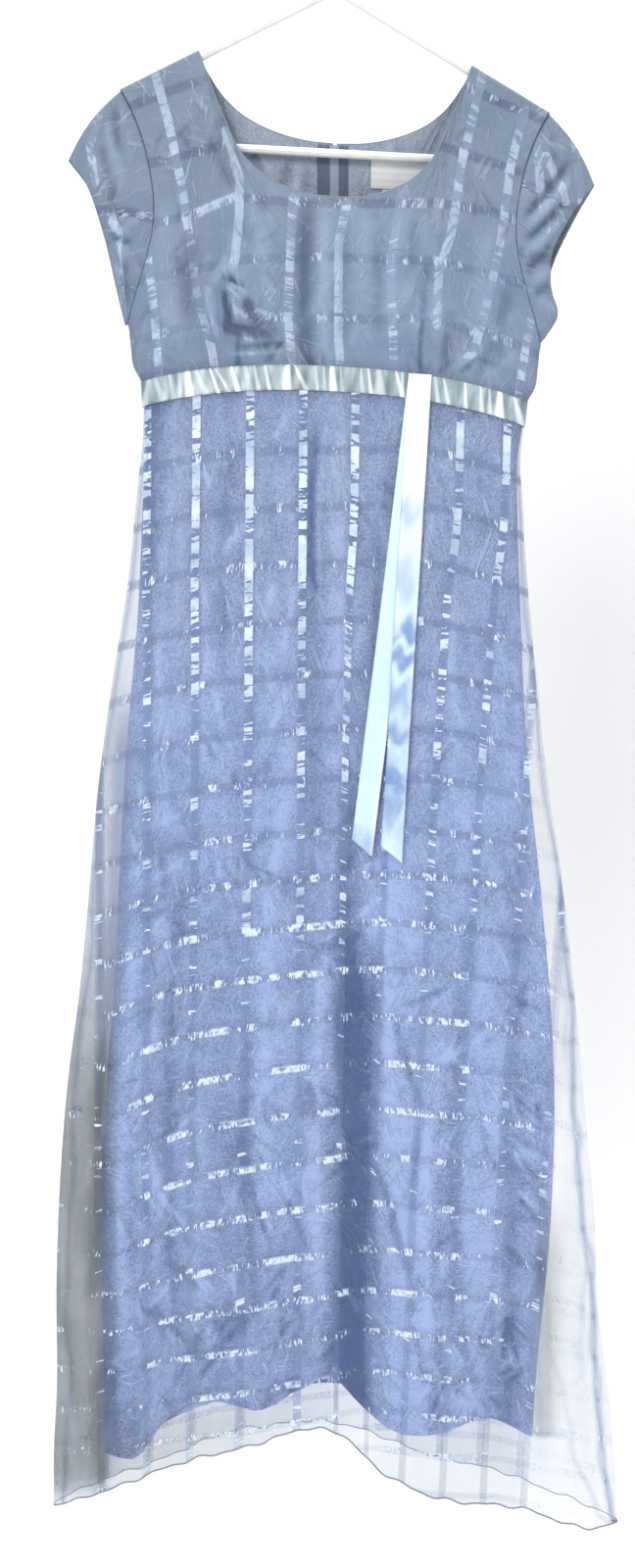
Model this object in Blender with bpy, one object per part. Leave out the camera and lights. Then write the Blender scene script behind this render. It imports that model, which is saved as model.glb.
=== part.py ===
"""Empire-line maxi dress with cap sleeves, hung on a tubular hanger.

Lengths are in millimetres and become metres when a mesh is made. x runs to the right as the
front is seen, y runs from the front (negative) to the back, and h is the height below the two
points where the shoulder seams meet the neck. The origin is the inner top of the hook.
"""

import math

import bmesh
import bpy
import numpy as np
from mathutils import Matrix, Vector

MM = 0.001

# Driving dimensions
WALL = 1.1
SEAM = 0.3
RIBBON_WALL = 1.0
NECK_DROP = 145.0  # from the hook's inner top down to the neck points
TILT = 0.05  # the right side hangs lower by this share of x

NECK_X = 122.0
SHOULDER_X = 193.0
SHOULDER_SLOPE = 0.5
UNDERARM_H = 234.0
WAIST_H = 277.0  # empire seam at the centre front
WAIST_SIDE_DROP = 20.0
RIBBON_WIDTH = 22.0

TUBE = 3.75  # radius of the hanger's tube
HOOK_TUBE = 3.25
HOOK_INNER = 20.0
BAR_H = 78.5
TIP_BEND = 21.0
CROWN = 22.0  # radius of the bend where the two arms meet
HOOK_START = 195.0  # the hook's open end, in degrees from +x towards up
HOOK_LEAN = 50.0  # how far below level the hook's arc goes before it bends back to the middle
TUBE_SIDES = 10

# The cloth passes over the hanger's arm at this radius, then swells towards the bust
WRAP = 5.0
WRAP_DROP = WRAP * math.hypot(1.0, SHOULDER_SLOPE)
SWELL_LENGTH = 110.0
ROUNDNESS = 2.4

ZIP_EDGE = 1.6  # half of the opening between the back panels along the zip
ZIP_END_H = 566.0
ZIP_TOP_H = 68.0
CHAIN_TOP_H = 82.0  # the chain starts under the slider
ZIP_HEIGHTS = (ZIP_TOP_H, 100, 140, 180, 220, 252, 270, 280, 300, 330, 360, 400, 450, 510, ZIP_END_H)
TAPE_EDGES = (-16.0, -5.0, 5.0, 12.0)
TAPE_WALL = 1.0
CHAIN_WIDTH = 2.2
CHAIN_WALL = 1.2
SEAM_LAYERS_H = 260.0  # below this the zip lies under the underskirt as well


def table(columns, *rows):
    """A dictionary of the named columns, each an array down the rows."""
    return dict(zip(columns.split(), np.array(rows, float).T))


# Half-widths to the side seams. Above the underarm they lead out through the sleeves.
SIDES = table(
    "h left right",
    (0, 900, 900),
    (36, 600, 600),
    (80, 400, 400),
    (130, 290, 290),
    (190, 215, 215),
    (222, 195, 195),
    (234, 192, 192),
    (255, 190, 190),
    (272, 188, 188),
    (286, 181, 181),
    (297, 180, 180),
    (308, 180, 179),
    (330, 181, 177),
    (384, 188, 180),
    (470, 199, 189),
    (573, 218, 202),
    (672, 234, 217),
    (774, 246, 235),
    (880, 259, 250),
    (989, 276, 263),
    (1101, 288, 277),
    (1218, 296, 286),
    (1338, 300, 304),
    (1430, 307, 314),
    (1500, 309, 320),
)

# Half-widths of the underskirt, and how far it lies inside the overlay
LINING_SIDES = table(
    "h left right",
    (297, 176, 176),
    (330, 177, 173),
    (384, 182, 175),
    (496, 190, 182),
    (621, 204, 192),
    (773, 217, 212),
    (878, 225, 224),
    (987, 236, 232),
    (1110, 246, 233),
    (1336, 253, 223),
    (1440, 253, 222),
)
CLEARANCE = table("h inside", (277, 2.0), (360, 3.0), (600, 5.0), (1440, 5.5))
LINING_SEAM = 1.45  # at the waist the underskirt follows the overlay, this far inside
LINING_FREE = 70.0  # and takes its own shape over this length

# How far the front and back swell past the wrap, and how far the sides curl forward
DEPTH = table(
    "h front back curl",
    (0, 20, 12, 0),
    (300, 20, 12, 0),
    (700, 17, 13, 6),
    (1100, 14, 14, 15),
    (1500, 12, 15, 24),
)

# Armhole: half-width at each height
ARMHOLE = table(
    "h x",
    (36, 193),
    (50, 185),
    (68, 177),
    (86, 171),
    (105, 167),
    (130, 164),
    (150, 165),
    (172, 170),
    (190, 176),
    (207, 182.5),
    (222, 188),
    (234, 192),
)

# Top edge of the bodice, along the neckline and then the shoulder. Each column of points starts
# at x on that edge and ends at the share u of the waist's half-width.
BODICE_TOP = table(
    "u x front back",
    (0.00, 0, 121, 66.5),
    (0.13, 27, 119, 65),
    (0.25, 52, 111, 60),
    (0.36, 73, 98.5, 52.5),
    (0.45, 89, 80, 43.5),
    (0.52, 102, 52, 32),
    (0.58, 112, 27, 19),
    (0.62, 120.4, 5.6, 5.6),
    (0.65, 121.5, 1.4, 1.4),
    (0.68, 122, 0, 0),
    (0.76, 141, 9.5, 9.5),
    (0.85, 163, 20.5, 20.5),
    (0.938, 181, 29.5, 29.5),
    (0.984, 190, 34, 34),
    (1.00, 193, 35.5, 35.5),
)

# Hems across the width: u is -1 at the left side seam and 1 at the right
HEM = table(
    "u front back",
    (-1.0, 1486, 1486),
    (-0.7, 1450, 1456),
    (-0.45, 1418, 1428),
    (-0.2, 1393, 1408),
    (-0.08, 1381, 1402),
    (0.03, 1390, 1404),
    (0.13, 1424, 1412),
    (0.25, 1445, 1424),
    (0.45, 1462, 1440),
    (0.7, 1469, 1456),
    (0.9, 1484, 1470),
    (1.0, 1476, 1476),
)
LINING_HEM = table(
    "u front back",
    (-1.0, 1424, 1424),
    (-0.85, 1426, 1412),
    (-0.72, 1380, 1394),
    (-0.5, 1354, 1374),
    (-0.3, 1362, 1360),
    (-0.14, 1338, 1352),
    (0.0, 1322, 1348),
    (0.13, 1356, 1352),
    (0.3, 1384, 1358),
    (0.55, 1380, 1366),
    (0.77, 1362, 1374),
    (1.0, 1384, 1384),
)

# Largest folds: where each starts and ends, its half-width and its rise (negative for a valley)
FOLD_COLUMNS = "x0 h0 x1 h1 half0 half1 rise0 rise1"
FRONT_FOLDS = (
    (-88, 120, -86, 256, 46, 46, 8, 9),
    (86, 120, 84, 256, 46, 46, 8, 9),
    (2, 135, -4, 256, 26, 26, 3, 3),
    (12, 302, 34, 1700, 34, 46, -3, -9),
    (-62, 302, -110, 1700, 40, 60, 1, 5),
    (-128, 302, -205, 1700, 36, 55, -1, -4),
    (84, 302, 124, 1700, 36, 55, 1, 5),
    (136, 302, 210, 1700, 36, 55, -1, -4),
)
BACK_FOLDS = (
    (-80, 125, -84, 250, 44, 44, 3, 3),
    (80, 125, 84, 250, 44, 44, 3, 3),
    (-84, 302, -120, 1700, 40, 60, 1, 6),
    (-140, 302, -215, 1700, 36, 55, -1, -4),
    (78, 302, 110, 1700, 40, 60, -1, -5),
    (134, 302, 205, 1700, 36, 55, 1, 5),
)
FOLD_FADE = 30.0

# Rows down a panel: a share of the way from its top edge to its bottom edge, and a shift
BODICE_ROWS = (
    (0, 0), (0, 1.6), (0, 5.6), (0.05, 4), (0.12, 0), (0.21, 0), (0.32, 0), (0.43, 0),
    (0.54, 0), (0.63, 0), (0.7, 0), (0.7586, 0), (0.83, 0), (1, -22), (1, -11), (1, 0),
)
SKIRT_ROWS = ((0, 0), (0, 11), (0.05, 0), (0.11, 0), (0.18, 0)) + tuple(
    (share, 0) for share in (0.257, 0.276, *np.linspace(0.34, 1.0, 11))
)
LINING_ROWS = ((0, 0), (0, 11), (0.06, 0), (0.15, 0)) + tuple(
    (share, 0) for share in (0.27, 0.29, *np.linspace(0.38, 1.0, 8))
)

# Columns across the skirt. The last ones match the bodice, where both bend round the side.
SKIRT_COLUMNS = tuple(np.linspace(0, 0.76, 9)) + tuple(BODICE_TOP["u"][-4:])

# Sleeve hem: q runs from the tip down to the underarm, each side with its own edge
LEFT_SLEEVE_HEM = table(
    "q front_x front_h front_y back_x back_h back_y",
    (0.0, 238, 95, 0, 238, 95, 0),
    (0.3, 223, 122, 9, 224, 121, 8),
    (0.55, 211, 158, 12, 213, 158, 10),
    (0.8, 204, 198, 9, 206, 197, 8),
    (1.0, 199, 235, 0, 199, 235, 0),
)
RIGHT_SLEEVE_HEM = table(
    "q front_x front_h front_y back_x back_h back_y",
    (0.0, 236, 94, 0, 236, 94, 0),
    (0.3, 210, 126, 14, 222, 123, 8),
    (0.55, 196, 158, 19, 209, 160, 10),
    (0.8, 204, 200, 13, 203, 190, 9),
    (1.0, 199, 231, 0, 199, 231, 0),
)
SLEEVE_STATIONS = 12  # from the top to the underarm, on the front and again on the back
SLEEVE_ROWS = (0.0, 0.25, 0.5, 0.75, 1.0)
SLEEVE_GAP = 1.05
CAP_BULGE = 8.5
SIDE_BULGE = 5.0

# Ribbon tails: the middle of each at the top and bottom, its bottom height and its layer
TAIL_TOP_X = 78.0
TAIL_TOP_H = WAIST_H - RIBBON_WIDTH / 2 + 3
TAIL_WIDTH = 21.0
TAIL_CUT = 16.0
TAILS = (
    ("ribbon_tail_behind", 31.5, 720.0, 1),
    ("ribbon_tail_front", 57.5, 724.0, 2),
)

# Zip slider, its arch and the pull tab that hangs in the arch, as x, y and z sizes
SLIDER_H = 74.0
SLIDER = (5.0, 2.2, 10.0)
SLIDER_STEM = 2.0  # width of the stem that reaches in between the back panels
ARCH = (1.2, 2.2, 3.4)
ARCH_WINDOW = (1.4, 1.6)  # its depth and height
PULL = (4.4, 0.8, 20.0)
PULL_WINDOW = (2.4, 3.0)
PULL_AXIS_H = 72.0

# Labels on the inside of the right back panel: left, right, top and bottom
NECK_LABEL = (33.0, 92.0, 75.0, 103.0)
CARE_LABEL = (44.0, 66.0, 103.5, 117.0)
LABEL_WALL = 1.0
UNDER_GAP = 0.4  # between the back panels and what is sewn on inside them

CLOTH = (0.27, 0.34, 0.50)
SHEER = (0.62, 0.72, 0.82)
LINING = (0.28, 0.36, 0.62)
SATIN = (0.62, 0.76, 0.80)
WHITE = (0.86, 0.86, 0.84)
DARK = (0.16, 0.20, 0.28)
METAL = (0.60, 0.61, 0.62)


def smooth(keys, values, at):
    """A smooth curve through the rows of a table, level beyond its ends."""
    slopes = np.gradient(values, keys)
    at = np.clip(at, keys[0], keys[-1])
    i = np.clip(np.searchsorted(keys, at) - 1, 0, len(keys) - 2)
    span = keys[i + 1] - keys[i]
    t = (at - keys[i]) / span
    return (
        values[i] * (1 + 2 * t) * (1 - t) ** 2
        + slopes[i] * span * t * (1 - t) ** 2
        + values[i + 1] * t * t * (3 - 2 * t)
        + slopes[i + 1] * span * t * t * (t - 1)
    )


def ease(t):
    t = np.clip(t, 0, 1)
    return t * t * (3 - 2 * t)


def half_width(sides, x, h):
    """Distance from the centre line to the side seam that x lies towards."""
    left = smooth(sides["h"], sides["left"], h)
    right = smooth(sides["h"], sides["right"], h)
    return np.where(x < 0, left, right)


def shoulder_line(x):
    """Height of the shoulder seam, carried on towards the centre."""
    return (np.abs(x) - NECK_X) * SHOULDER_SLOPE


def relief(folds, x, h):
    """Sum of the folds that cross this point."""
    total = np.zeros(np.broadcast(x, h).shape)
    for row in folds:
        fold = dict(zip(FOLD_COLUMNS.split(), row))
        t = np.clip((h - fold["h0"]) / (fold["h1"] - fold["h0"]), 0, 1)
        middle = fold["x0"] + t * (fold["x1"] - fold["x0"])
        half = fold["half0"] + t * (fold["half1"] - fold["half0"])
        rise = fold["rise0"] + t * (fold["rise1"] - fold["rise0"])
        across = np.clip(np.abs(x - middle) / half, 0, 1)
        ends = ease((h - fold["h0"]) / FOLD_FADE) * ease((fold["h1"] - h) / FOLD_FADE)
        total = total + rise * ends * (1 + np.cos(math.pi * across)) / 2
    return total


def depth(side, x, h, sides=SIDES, inside=0.0):
    """y of the cloth's middle: side is -1 for the front and 1 for the back."""
    below = np.maximum(h - shoulder_line(x), 0)
    turn = np.clip(below / WRAP_DROP, 0, 1)
    wrap = WRAP * np.sqrt(1 - (1 - turn) ** 2)
    swell = smooth(DEPTH["h"], DEPTH["front" if side < 0 else "back"], h)
    swell = swell * (1 - np.exp(-np.maximum(below - WRAP_DROP, 0) / SWELL_LENGTH))
    across = np.clip(np.abs(x) / half_width(sides, x, h), 0, 1)
    round_off = np.sqrt(1 - across**ROUNDNESS)
    bulk = wrap + swell + relief(FRONT_FOLDS if side < 0 else BACK_FOLDS, x, h) - inside
    outer = np.abs(x) / half_width(SIDES, x, np.maximum(h, WAIST_H))
    curl = -smooth(DEPTH["h"], DEPTH["curl"], h) * outer**2
    return side * (SEAM / 2 + bulk * round_off) + curl


def waist(u):
    """Height of the empire seam across the width."""
    return WAIST_H + WAIST_SIDE_DROP * np.abs(u) ** 2.2


def normals(points, side):
    """Unit normals of a grid of points, facing out on this side of the dress."""
    down = np.gradient(points, axis=0)
    across = np.gradient(points, axis=1)
    found = np.cross(down, across)
    if np.mean(found[..., 1]) * side < 0:
        found = -found
    return found / np.linalg.norm(found, axis=2, keepdims=True)


def square_to(found, axis, where):
    """Lays the normals of an edge flat to its seam, so that the two pieces meet square."""
    found[where + (axis,)] = 0
    found[where] /= np.linalg.norm(found[where], axis=-1, keepdims=True)


def material(name, colour, roughness, metallic=0.0):
    made = bpy.data.materials.new(name)
    made.use_nodes = True
    shader = made.node_tree.nodes["Principled BSDF"]
    shader.inputs["Base Color"].default_value = (*colour, 1.0)
    shader.inputs["Roughness"].default_value = roughness
    shader.inputs["Metallic"].default_value = metallic
    return made


def hang(points):
    """Points in x, y, h turned into world places in metres, with the hanger's tilt."""
    x, y, h = np.moveaxis(np.asarray(points, float), -1, 0)
    return np.stack([x, y, -(NECK_DROP + h) - TILT * x], axis=-1) * MM


def solid(name, places, faces, colour, roughness=0.7, metallic=0.0):
    """An object from world places and faces, its faces turned out."""
    mesh = bpy.data.meshes.new(name)
    mesh.from_pydata([tuple(p) for p in places], [], faces)
    work = bmesh.new()
    work.from_mesh(mesh)
    bmesh.ops.recalc_face_normals(work, faces=work.faces)
    work.to_mesh(mesh)
    work.free()
    mesh.shade_smooth()
    mesh.set_sharp_from_angle(angle=math.radians(40))
    made = bpy.data.objects.new(name, mesh)
    made.data.materials.append(material(name, colour, roughness, metallic))
    bpy.context.scene.collection.objects.link(made)
    return made


def wall(name, points, out, thickness, colour, roughness=0.7, ring=False):
    """A closed wall of cloth about a grid of middle points. A ring joins its last column to its first."""
    rows, columns = points.shape[:2]
    skins = [points + out * thickness / 2, points - out * thickness / 2]
    places = hang(np.concatenate([skin.reshape(-1, 3) for skin in skins]))
    steps = columns if ring else columns - 1

    def at(skin, row, column):
        return skin * rows * columns + row * columns + column % columns

    faces = []
    for skin in (0, 1):
        for row in range(rows - 1):
            for column in range(steps):
                a, b = at(skin, row, column), at(skin, row, column + 1)
                c, d = at(skin, row + 1, column + 1), at(skin, row + 1, column)
                faces += [(a, b, c), (a, c, d)]
    for row in (0, rows - 1):
        for column in range(steps):
            a, b = at(0, row, column), at(0, row, column + 1)
            faces.append((a, b, at(1, row, column + 1), at(1, row, column)))
    if not ring:
        for column in (0, columns - 1):
            for row in range(rows - 1):
                a, b = at(0, row, column), at(0, row + 1, column)
                faces.append((a, b, at(1, row + 1, column), at(1, row, column)))
    return solid(name, places, faces, colour, roughness)


def panel_rows(top, bottom, rows):
    """Heights down each column of a panel, between its top and bottom edges."""
    share, shift = np.array(rows, float).T
    return top + share[:, None] * (bottom - top) + shift[:, None]


def edge_inset(h):
    """Half of the gap between the back panels: open along the zip, then a plain seam."""
    return SEAM / 2 + (ZIP_EDGE - SEAM / 2) * ease((ZIP_END_H + 18 - h) / 15)


def mirrored(values, sign):
    """A half's columns as they run left to right: both halves, or only the one on this sign's side."""
    values = np.asarray(values, float)
    if sign == 0:
        return np.concatenate([-values[:0:-1], values])
    return -values[::-1] if sign < 0 else values


def bodice_points(side, sign=0):
    """Middle points of a bodice panel. Sign is 0 for the whole width, or picks a half."""
    u = mirrored(BODICE_TOP["u"], sign)
    x = np.sign(u) * np.interp(np.abs(u), BODICE_TOP["u"], BODICE_TOP["x"])
    top = np.interp(np.abs(u), BODICE_TOP["u"], BODICE_TOP["front" if side < 0 else "back"])
    h = panel_rows(top, waist(u) - SEAM / 2, BODICE_ROWS)
    edge_h = h[:, -1:] if sign >= 0 else h[:, :1]
    armhole = smooth(ARMHOLE["h"], ARMHOLE["x"], edge_h)
    side_seam = half_width(SIDES, 1.0, edge_h)
    edge = np.where(edge_h < UNDERARM_H, armhole, side_seam)
    down = (h - top) / (waist(u) - top)
    reach = ((1 - down) * x / SHOULDER_X + down * u) * edge
    if sign:
        reach = reach + sign * ZIP_EDGE * (1 - np.abs(u))
    points = np.stack([reach, depth(side, reach, h), h], axis=-1)
    out = normals(points, side)
    seam_rows = np.flatnonzero(edge_h[:, 0] > UNDERARM_H - 1)
    on_shoulder = np.flatnonzero(np.abs(x) > NECK_X - 0.1)
    points[0, on_shoulder, 1] = side * SEAM / 2
    square_to(out, 1, (0, on_shoulder))
    for column in np.flatnonzero(np.abs(x) > SHOULDER_X - 1):
        points[seam_rows, column, 1] = side * SEAM / 2
        square_to(out, 1, (seam_rows, column))
    for column in np.flatnonzero(np.abs(x) < 1) if sign else ():
        square_to(out, 0, (slice(None), column))
    return points, out


def skirt_points(side, sign, sides, hem, rows, lined):
    """Middle points of a panel of the overlay, or of the underskirt that lies inside it."""
    u = mirrored(SKIRT_COLUMNS, sign)
    bottom = smooth(hem["u"], hem["front" if side < 0 else "back"], u)
    h = panel_rows(waist(u) + SEAM / 2, bottom, rows)
    x = u * half_width(sides, u, h)
    if sign:
        x = x + sign * edge_inset(h) * (1 - np.abs(u))
    inside = smooth(CLEARANCE["h"], CLEARANCE["inside"], h) if lined else 0.0
    points = np.stack([x, depth(side, x, h, sides, inside), h], axis=-1)
    if lined:
        over, away = skirt_points(side, sign, SIDES, hem, rows, False)
        free = ease((h - waist(u)) / LINING_FREE)[..., None]
        points = free * points + (1 - free) * (over - away * LINING_SEAM)
    out = normals(points, side)
    for column in np.flatnonzero(np.abs(u) > 0.999):
        square_to(out, 1, (slice(None), column))
    for column in np.flatnonzero(np.abs(u) < 0.001) if sign else ():
        square_to(out, 0, (slice(None), column))
    return points, out


def ribbon_points(side, sign):
    """The ribbon lies on the bodice and skirt, made from their points and moved out."""
    u = mirrored(BODICE_TOP["u"], sign)
    h = waist(u) + np.array([-0.5, 0.0, 0.5])[:, None] * RIBBON_WIDTH
    x = u * half_width(SIDES, u, h)
    if sign:
        x = x + sign * ZIP_EDGE * (1 - np.abs(u))
    points = np.stack([x, depth(side, x, h), h], axis=-1)
    out = normals(points, side)
    for column in np.flatnonzero(np.abs(u) > 0.999):
        square_to(out, 1, (slice(None), column))
    for column in np.flatnonzero(np.abs(u) < 0.001) if sign else ():
        square_to(out, 0, (slice(None), column))
    return points + out * (WALL / 2 + SEAM + RIBBON_WALL / 2), out


def sleeve_points(sign, hem):
    """Middle points of a cap sleeve: a ring from the armhole out to the hem."""
    q = (1 - np.cos(np.linspace(0, math.pi, SLEEVE_STATIONS + 1))) / 2
    h = 36 + q * (UNDERARM_H - 36)
    x = smooth(ARMHOLE["h"], ARMHOLE["x"], h)
    ring, edge = [], []
    for side, label in ((-1, "front"), (1, "back")):
        y = depth(side, x, h)
        y[0] = y[-1] = 0
        ring.append(np.stack([x + SLEEVE_GAP, y, h], axis=-1))
        ends = [smooth(hem["q"], hem[f"{label}_{axis}"], q) for axis in "xyh"]
        edge.append(np.stack([ends[0], side * ends[1], ends[2]], axis=-1))
    # The front goes down to the underarm and the back comes up again.
    armhole = np.concatenate([ring[0], ring[1][-2:0:-1]])
    opening = np.concatenate([edge[0], edge[1][-2:0:-1]])
    drop = np.concatenate([q, q[-2:0:-1]])
    facing = np.sign(armhole[:, 1])
    cap = CAP_BULGE * np.cos(drop * math.pi / 2) ** 2
    puff = SIDE_BULGE * np.sin(drop * math.pi)
    bulge = np.stack([0.8 * cap, facing * puff, -0.6 * cap], axis=-1)
    rows = [
        armhole + share * (opening - armhole) + math.sin(math.pi * share) * bulge
        for share in SLEEVE_ROWS
    ]
    points = np.stack(rows)
    down = np.gradient(points, axis=0)
    around = np.roll(points, -1, axis=1) - np.roll(points, 1, axis=1)
    out = np.cross(down, around)
    out /= np.linalg.norm(out, axis=2, keepdims=True)
    points[..., 0] *= sign
    out[..., 0] *= sign
    return points, out


def strip(side, x, h, inside, outside=0.0):
    """Points over a stretch of the front or back, moved in or out from its middle."""
    points = np.stack([x, depth(side, x, h), h], axis=-1)
    out = normals(points, side)
    return points + out * (outside - inside)[..., None], out


def tube(name, path, radius, colour, ring):
    """A round tube along a path in the x-h plane."""
    path = np.array(path)
    if ring:
        along = np.roll(path, -1, axis=0) - np.roll(path, 1, axis=0)
    else:
        along = np.gradient(path, axis=0)
    along /= np.linalg.norm(along, axis=1, keepdims=True)
    across = np.stack([-along[:, 1], along[:, 0]], axis=1)
    angles = np.arange(TUBE_SIDES) * 2 * math.pi / TUBE_SIDES
    points = []
    for centre, sideways in zip(path, across):
        for angle in angles:
            x, h = centre + sideways * radius * math.cos(angle)
            points.append((x, radius * math.sin(angle), h))
    count, n = len(path), TUBE_SIDES
    faces = []
    for i in range(count if ring else count - 1):
        for j in range(n):
            k = (i + 1) % count
            faces.append((i * n + j, i * n + (j + 1) % n, k * n + (j + 1) % n, k * n + j))
    if not ring:
        faces.append(tuple(range(n)))
        faces.append(tuple(range((count - 1) * n, count * n)))
    return solid(name, hang(points), faces, colour, 0.35)


def arc(centre, radius, start, end, steps):
    """Points on an arc, its angles in degrees from +x towards up."""
    angles = np.radians(np.linspace(start, end, steps + 1))
    return [
        (centre[0] + radius * math.cos(a), centre[1] - radius * math.sin(a)) for a in angles
    ]


def combine(target, other, operation):
    """Joins or cuts with a helper object that stays out of the model."""
    modifier = target.modifiers.new(other.name, "BOOLEAN")
    modifier.operation = operation
    modifier.object = other
    other.hide_render = True
    other.display_type = "WIRE"


def make_hanger():
    slope = math.degrees(math.atan(SHOULDER_SLOPE))
    arm_h = shoulder_line(0.0) + WRAP_DROP  # the two arms' lines meet here
    corner_x = (BAR_H - arm_h) / SHOULDER_SLOPE
    reach = TIP_BEND / math.tan(math.radians(slope / 2))
    tip = (corner_x - reach, BAR_H - TIP_BEND)
    top = (0.0, arm_h + CROWN / math.cos(math.radians(slope)))
    loop = arc(top, CROWN, 90, 90 - slope, 3)
    loop += arc(tip, TIP_BEND, 90 - slope, -90, 10)
    half = loop + [(x, BAR_H) for x in (120.0, 60.0)]
    left = [(-x, h) for x, h in half[:0:-1]]
    hanger = tube("hanger", half + [(0.0, BAR_H)] + left, TUBE, WHITE, ring=True)

    middle = HOOK_INNER + HOOK_TUBE
    centre = (0.0, HOOK_INNER - NECK_DROP)
    hook = arc(centre, middle, HOOK_START, -HOOK_LEAN, 18)
    lean = math.radians(HOOK_LEAN)
    join = middle * math.cos(lean) / (1 - math.cos(lean))
    neck_h = hook[-1][1] + join * math.sin(lean)
    hook += arc((join, neck_h), join, 180 - HOOK_LEAN, 180, 5)[1:]
    hook += [(0.0, arm_h - 2 * WRAP), (0.0, arm_h + HOOK_TUBE / 2)]
    stem = tube("hanger_hook", hook, HOOK_TUBE, WHITE, ring=False)
    combine(hanger, stem, "UNION")


def make_bodice():
    points, out = bodice_points(-1)
    wall("bodice_front", points, out, WALL, CLOTH)
    for name, sign in (("left", -1), ("right", 1)):
        points, out = bodice_points(1, sign)
        wall(f"bodice_back_{name}", points, out, WALL, CLOTH)


def make_sleeves():
    for name, sign, hem in (("left", -1, LEFT_SLEEVE_HEM), ("right", 1, RIGHT_SLEEVE_HEM)):
        points, out = sleeve_points(sign, hem)
        wall(f"sleeve_{name}", points, out, WALL, CLOTH, ring=True)


def make_skirt():
    layers = (
        ("skirt", SIDES, HEM, SKIRT_ROWS, False, SHEER),
        ("lining", LINING_SIDES, LINING_HEM, LINING_ROWS, True, LINING),
    )
    for layer, sides, hem, rows, lined, colour in layers:
        for name, side, sign in (("front", -1, 0), ("back_left", 1, -1), ("back_right", 1, 1)):
            points, out = skirt_points(side, sign, sides, hem, rows, lined)
            wall(f"{layer}_{name}", points, out, WALL, colour)


def make_ribbon():
    for name, side, sign in (("front", -1, 0), ("back_left", 1, -1), ("back_right", 1, 1)):
        points, out = ribbon_points(side, sign)
        wall(f"ribbon_{name}", points, out, RIBBON_WALL, SATIN, 0.3)
    for name, bottom_x, bottom_h, layer in TAILS:
        t = np.linspace(0, 1, 17)[:, None]
        offset = np.array([-0.5, 0.5])[None, :] * TAIL_WIDTH
        h = TAIL_TOP_H + t * (bottom_h - TAIL_TOP_H) + t**8 * offset / TAIL_WIDTH * TAIL_CUT
        x = TAIL_TOP_X + t * (bottom_x - TAIL_TOP_X) + offset
        lift = WALL / 2 + SEAM + (layer + 0.5) * RIBBON_WALL + layer * SEAM
        points, out = strip(-1, x, h, np.zeros(x.shape), np.full(x.shape, lift))
        wall(name, points, out, RIBBON_WALL, SATIN, 0.3)


def make_zip():
    h = np.array(ZIP_HEIGHTS)
    layers = np.maximum(smooth(CLEARANCE["h"], CLEARANCE["inside"], h), LINING_SEAM)
    under = np.where(h < SEAM_LAYERS_H, 0, layers) + WALL / 2 + UNDER_GAP
    across, down = np.meshgrid(TAPE_EDGES, h)
    inward = np.broadcast_to((under + TAPE_WALL / 2)[:, None], down.shape)
    points, out = strip(1, across, down, inward)
    wall("zip_tape", points, out, TAPE_WALL, DARK)

    h[0] = CHAIN_TOP_H
    across, down = np.meshgrid((-CHAIN_WIDTH / 2, CHAIN_WIDTH / 2), h)
    inward = np.broadcast_to((under - SEAM - CHAIN_WALL / 2)[:, None], down.shape)
    points, out = strip(1, across, down, inward)
    wall("zip_chain", points, out, CHAIN_WALL, DARK, 0.4)


def block(name, size, centre, colour=METAL):
    """A box of these x, y and z sizes about a place given in x, y and h."""
    mesh = bpy.data.meshes.new(name)
    work = bmesh.new()
    bmesh.ops.create_cube(work, size=1.0)
    bmesh.ops.scale(work, vec=[side * MM for side in size], verts=work.verts)
    work.to_mesh(mesh)
    work.free()
    made = bpy.data.objects.new(name, mesh)
    made.data.materials.append(material(name, colour, 0.35, 1.0))
    made.location = hang(centre)
    bpy.context.scene.collection.objects.link(made)
    return made


def make_slider():
    bottom_h = SLIDER_H + SLIDER[2] / 2
    middle = float(depth(1, np.array(0.0), np.array(bottom_h)))
    inner = middle + WALL / 2 + SEAM
    face = inner + SLIDER[1]
    stem_end = middle - WALL / 2 - UNDER_GAP + SEAM
    slider = block("zip_slider", SLIDER, (0, inner + SLIDER[1] / 2, SLIDER_H))
    stem_size = (SLIDER_STEM, inner - stem_end + 1.0, SLIDER[2])
    stem = block("slider_stem", stem_size, (0, stem_end + stem_size[1] / 2, SLIDER_H))
    arch_size = (ARCH[0], ARCH[1] + 0.5, ARCH[2])
    arch = block("slider_arch", arch_size, (0, face - 0.5 + arch_size[1] / 2, PULL_AXIS_H))
    cut = 0.05  # the window is cut a little into the slider's face
    window_size = (ARCH[0] * 2, ARCH_WINDOW[0] + cut, ARCH_WINDOW[1])
    window_y = face - cut + window_size[1] / 2
    window = block("slider_window", window_size, (0, window_y, PULL_AXIS_H))
    combine(slider, stem, "UNION")
    combine(slider, arch, "UNION")
    combine(slider, window, "DIFFERENCE")

    axis = (0, face + ARCH_WINDOW[0] / 2, PULL_AXIS_H)
    pull = block("zip_pull", PULL, axis)
    lower = Vector((0, 0, -(PULL[2] - PULL[1]) / 2 * MM))
    pull.data.transform(Matrix.Translation(lower))
    hole_h = PULL_AXIS_H + PULL[1] / 2 + PULL_WINDOW[1] / 2
    hole_size = (PULL_WINDOW[0], PULL[1] * 3, PULL_WINDOW[1])
    hole = block("pull_window", hole_size, (0, axis[1], hole_h))
    combine(pull, hole, "DIFFERENCE")


def make_labels():
    for name, (left, right, top, bottom) in (
        ("neck_label", NECK_LABEL),
        ("care_label", CARE_LABEL),
    ):
        x, h = np.meshgrid(np.linspace(left, right, 4), np.linspace(top, bottom, 4))
        inward = np.full(x.shape, WALL / 2 + UNDER_GAP + LABEL_WALL / 2)
        points, out = strip(1, x, h, inward)
        wall(name, points, out, LABEL_WALL, WHITE)


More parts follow.
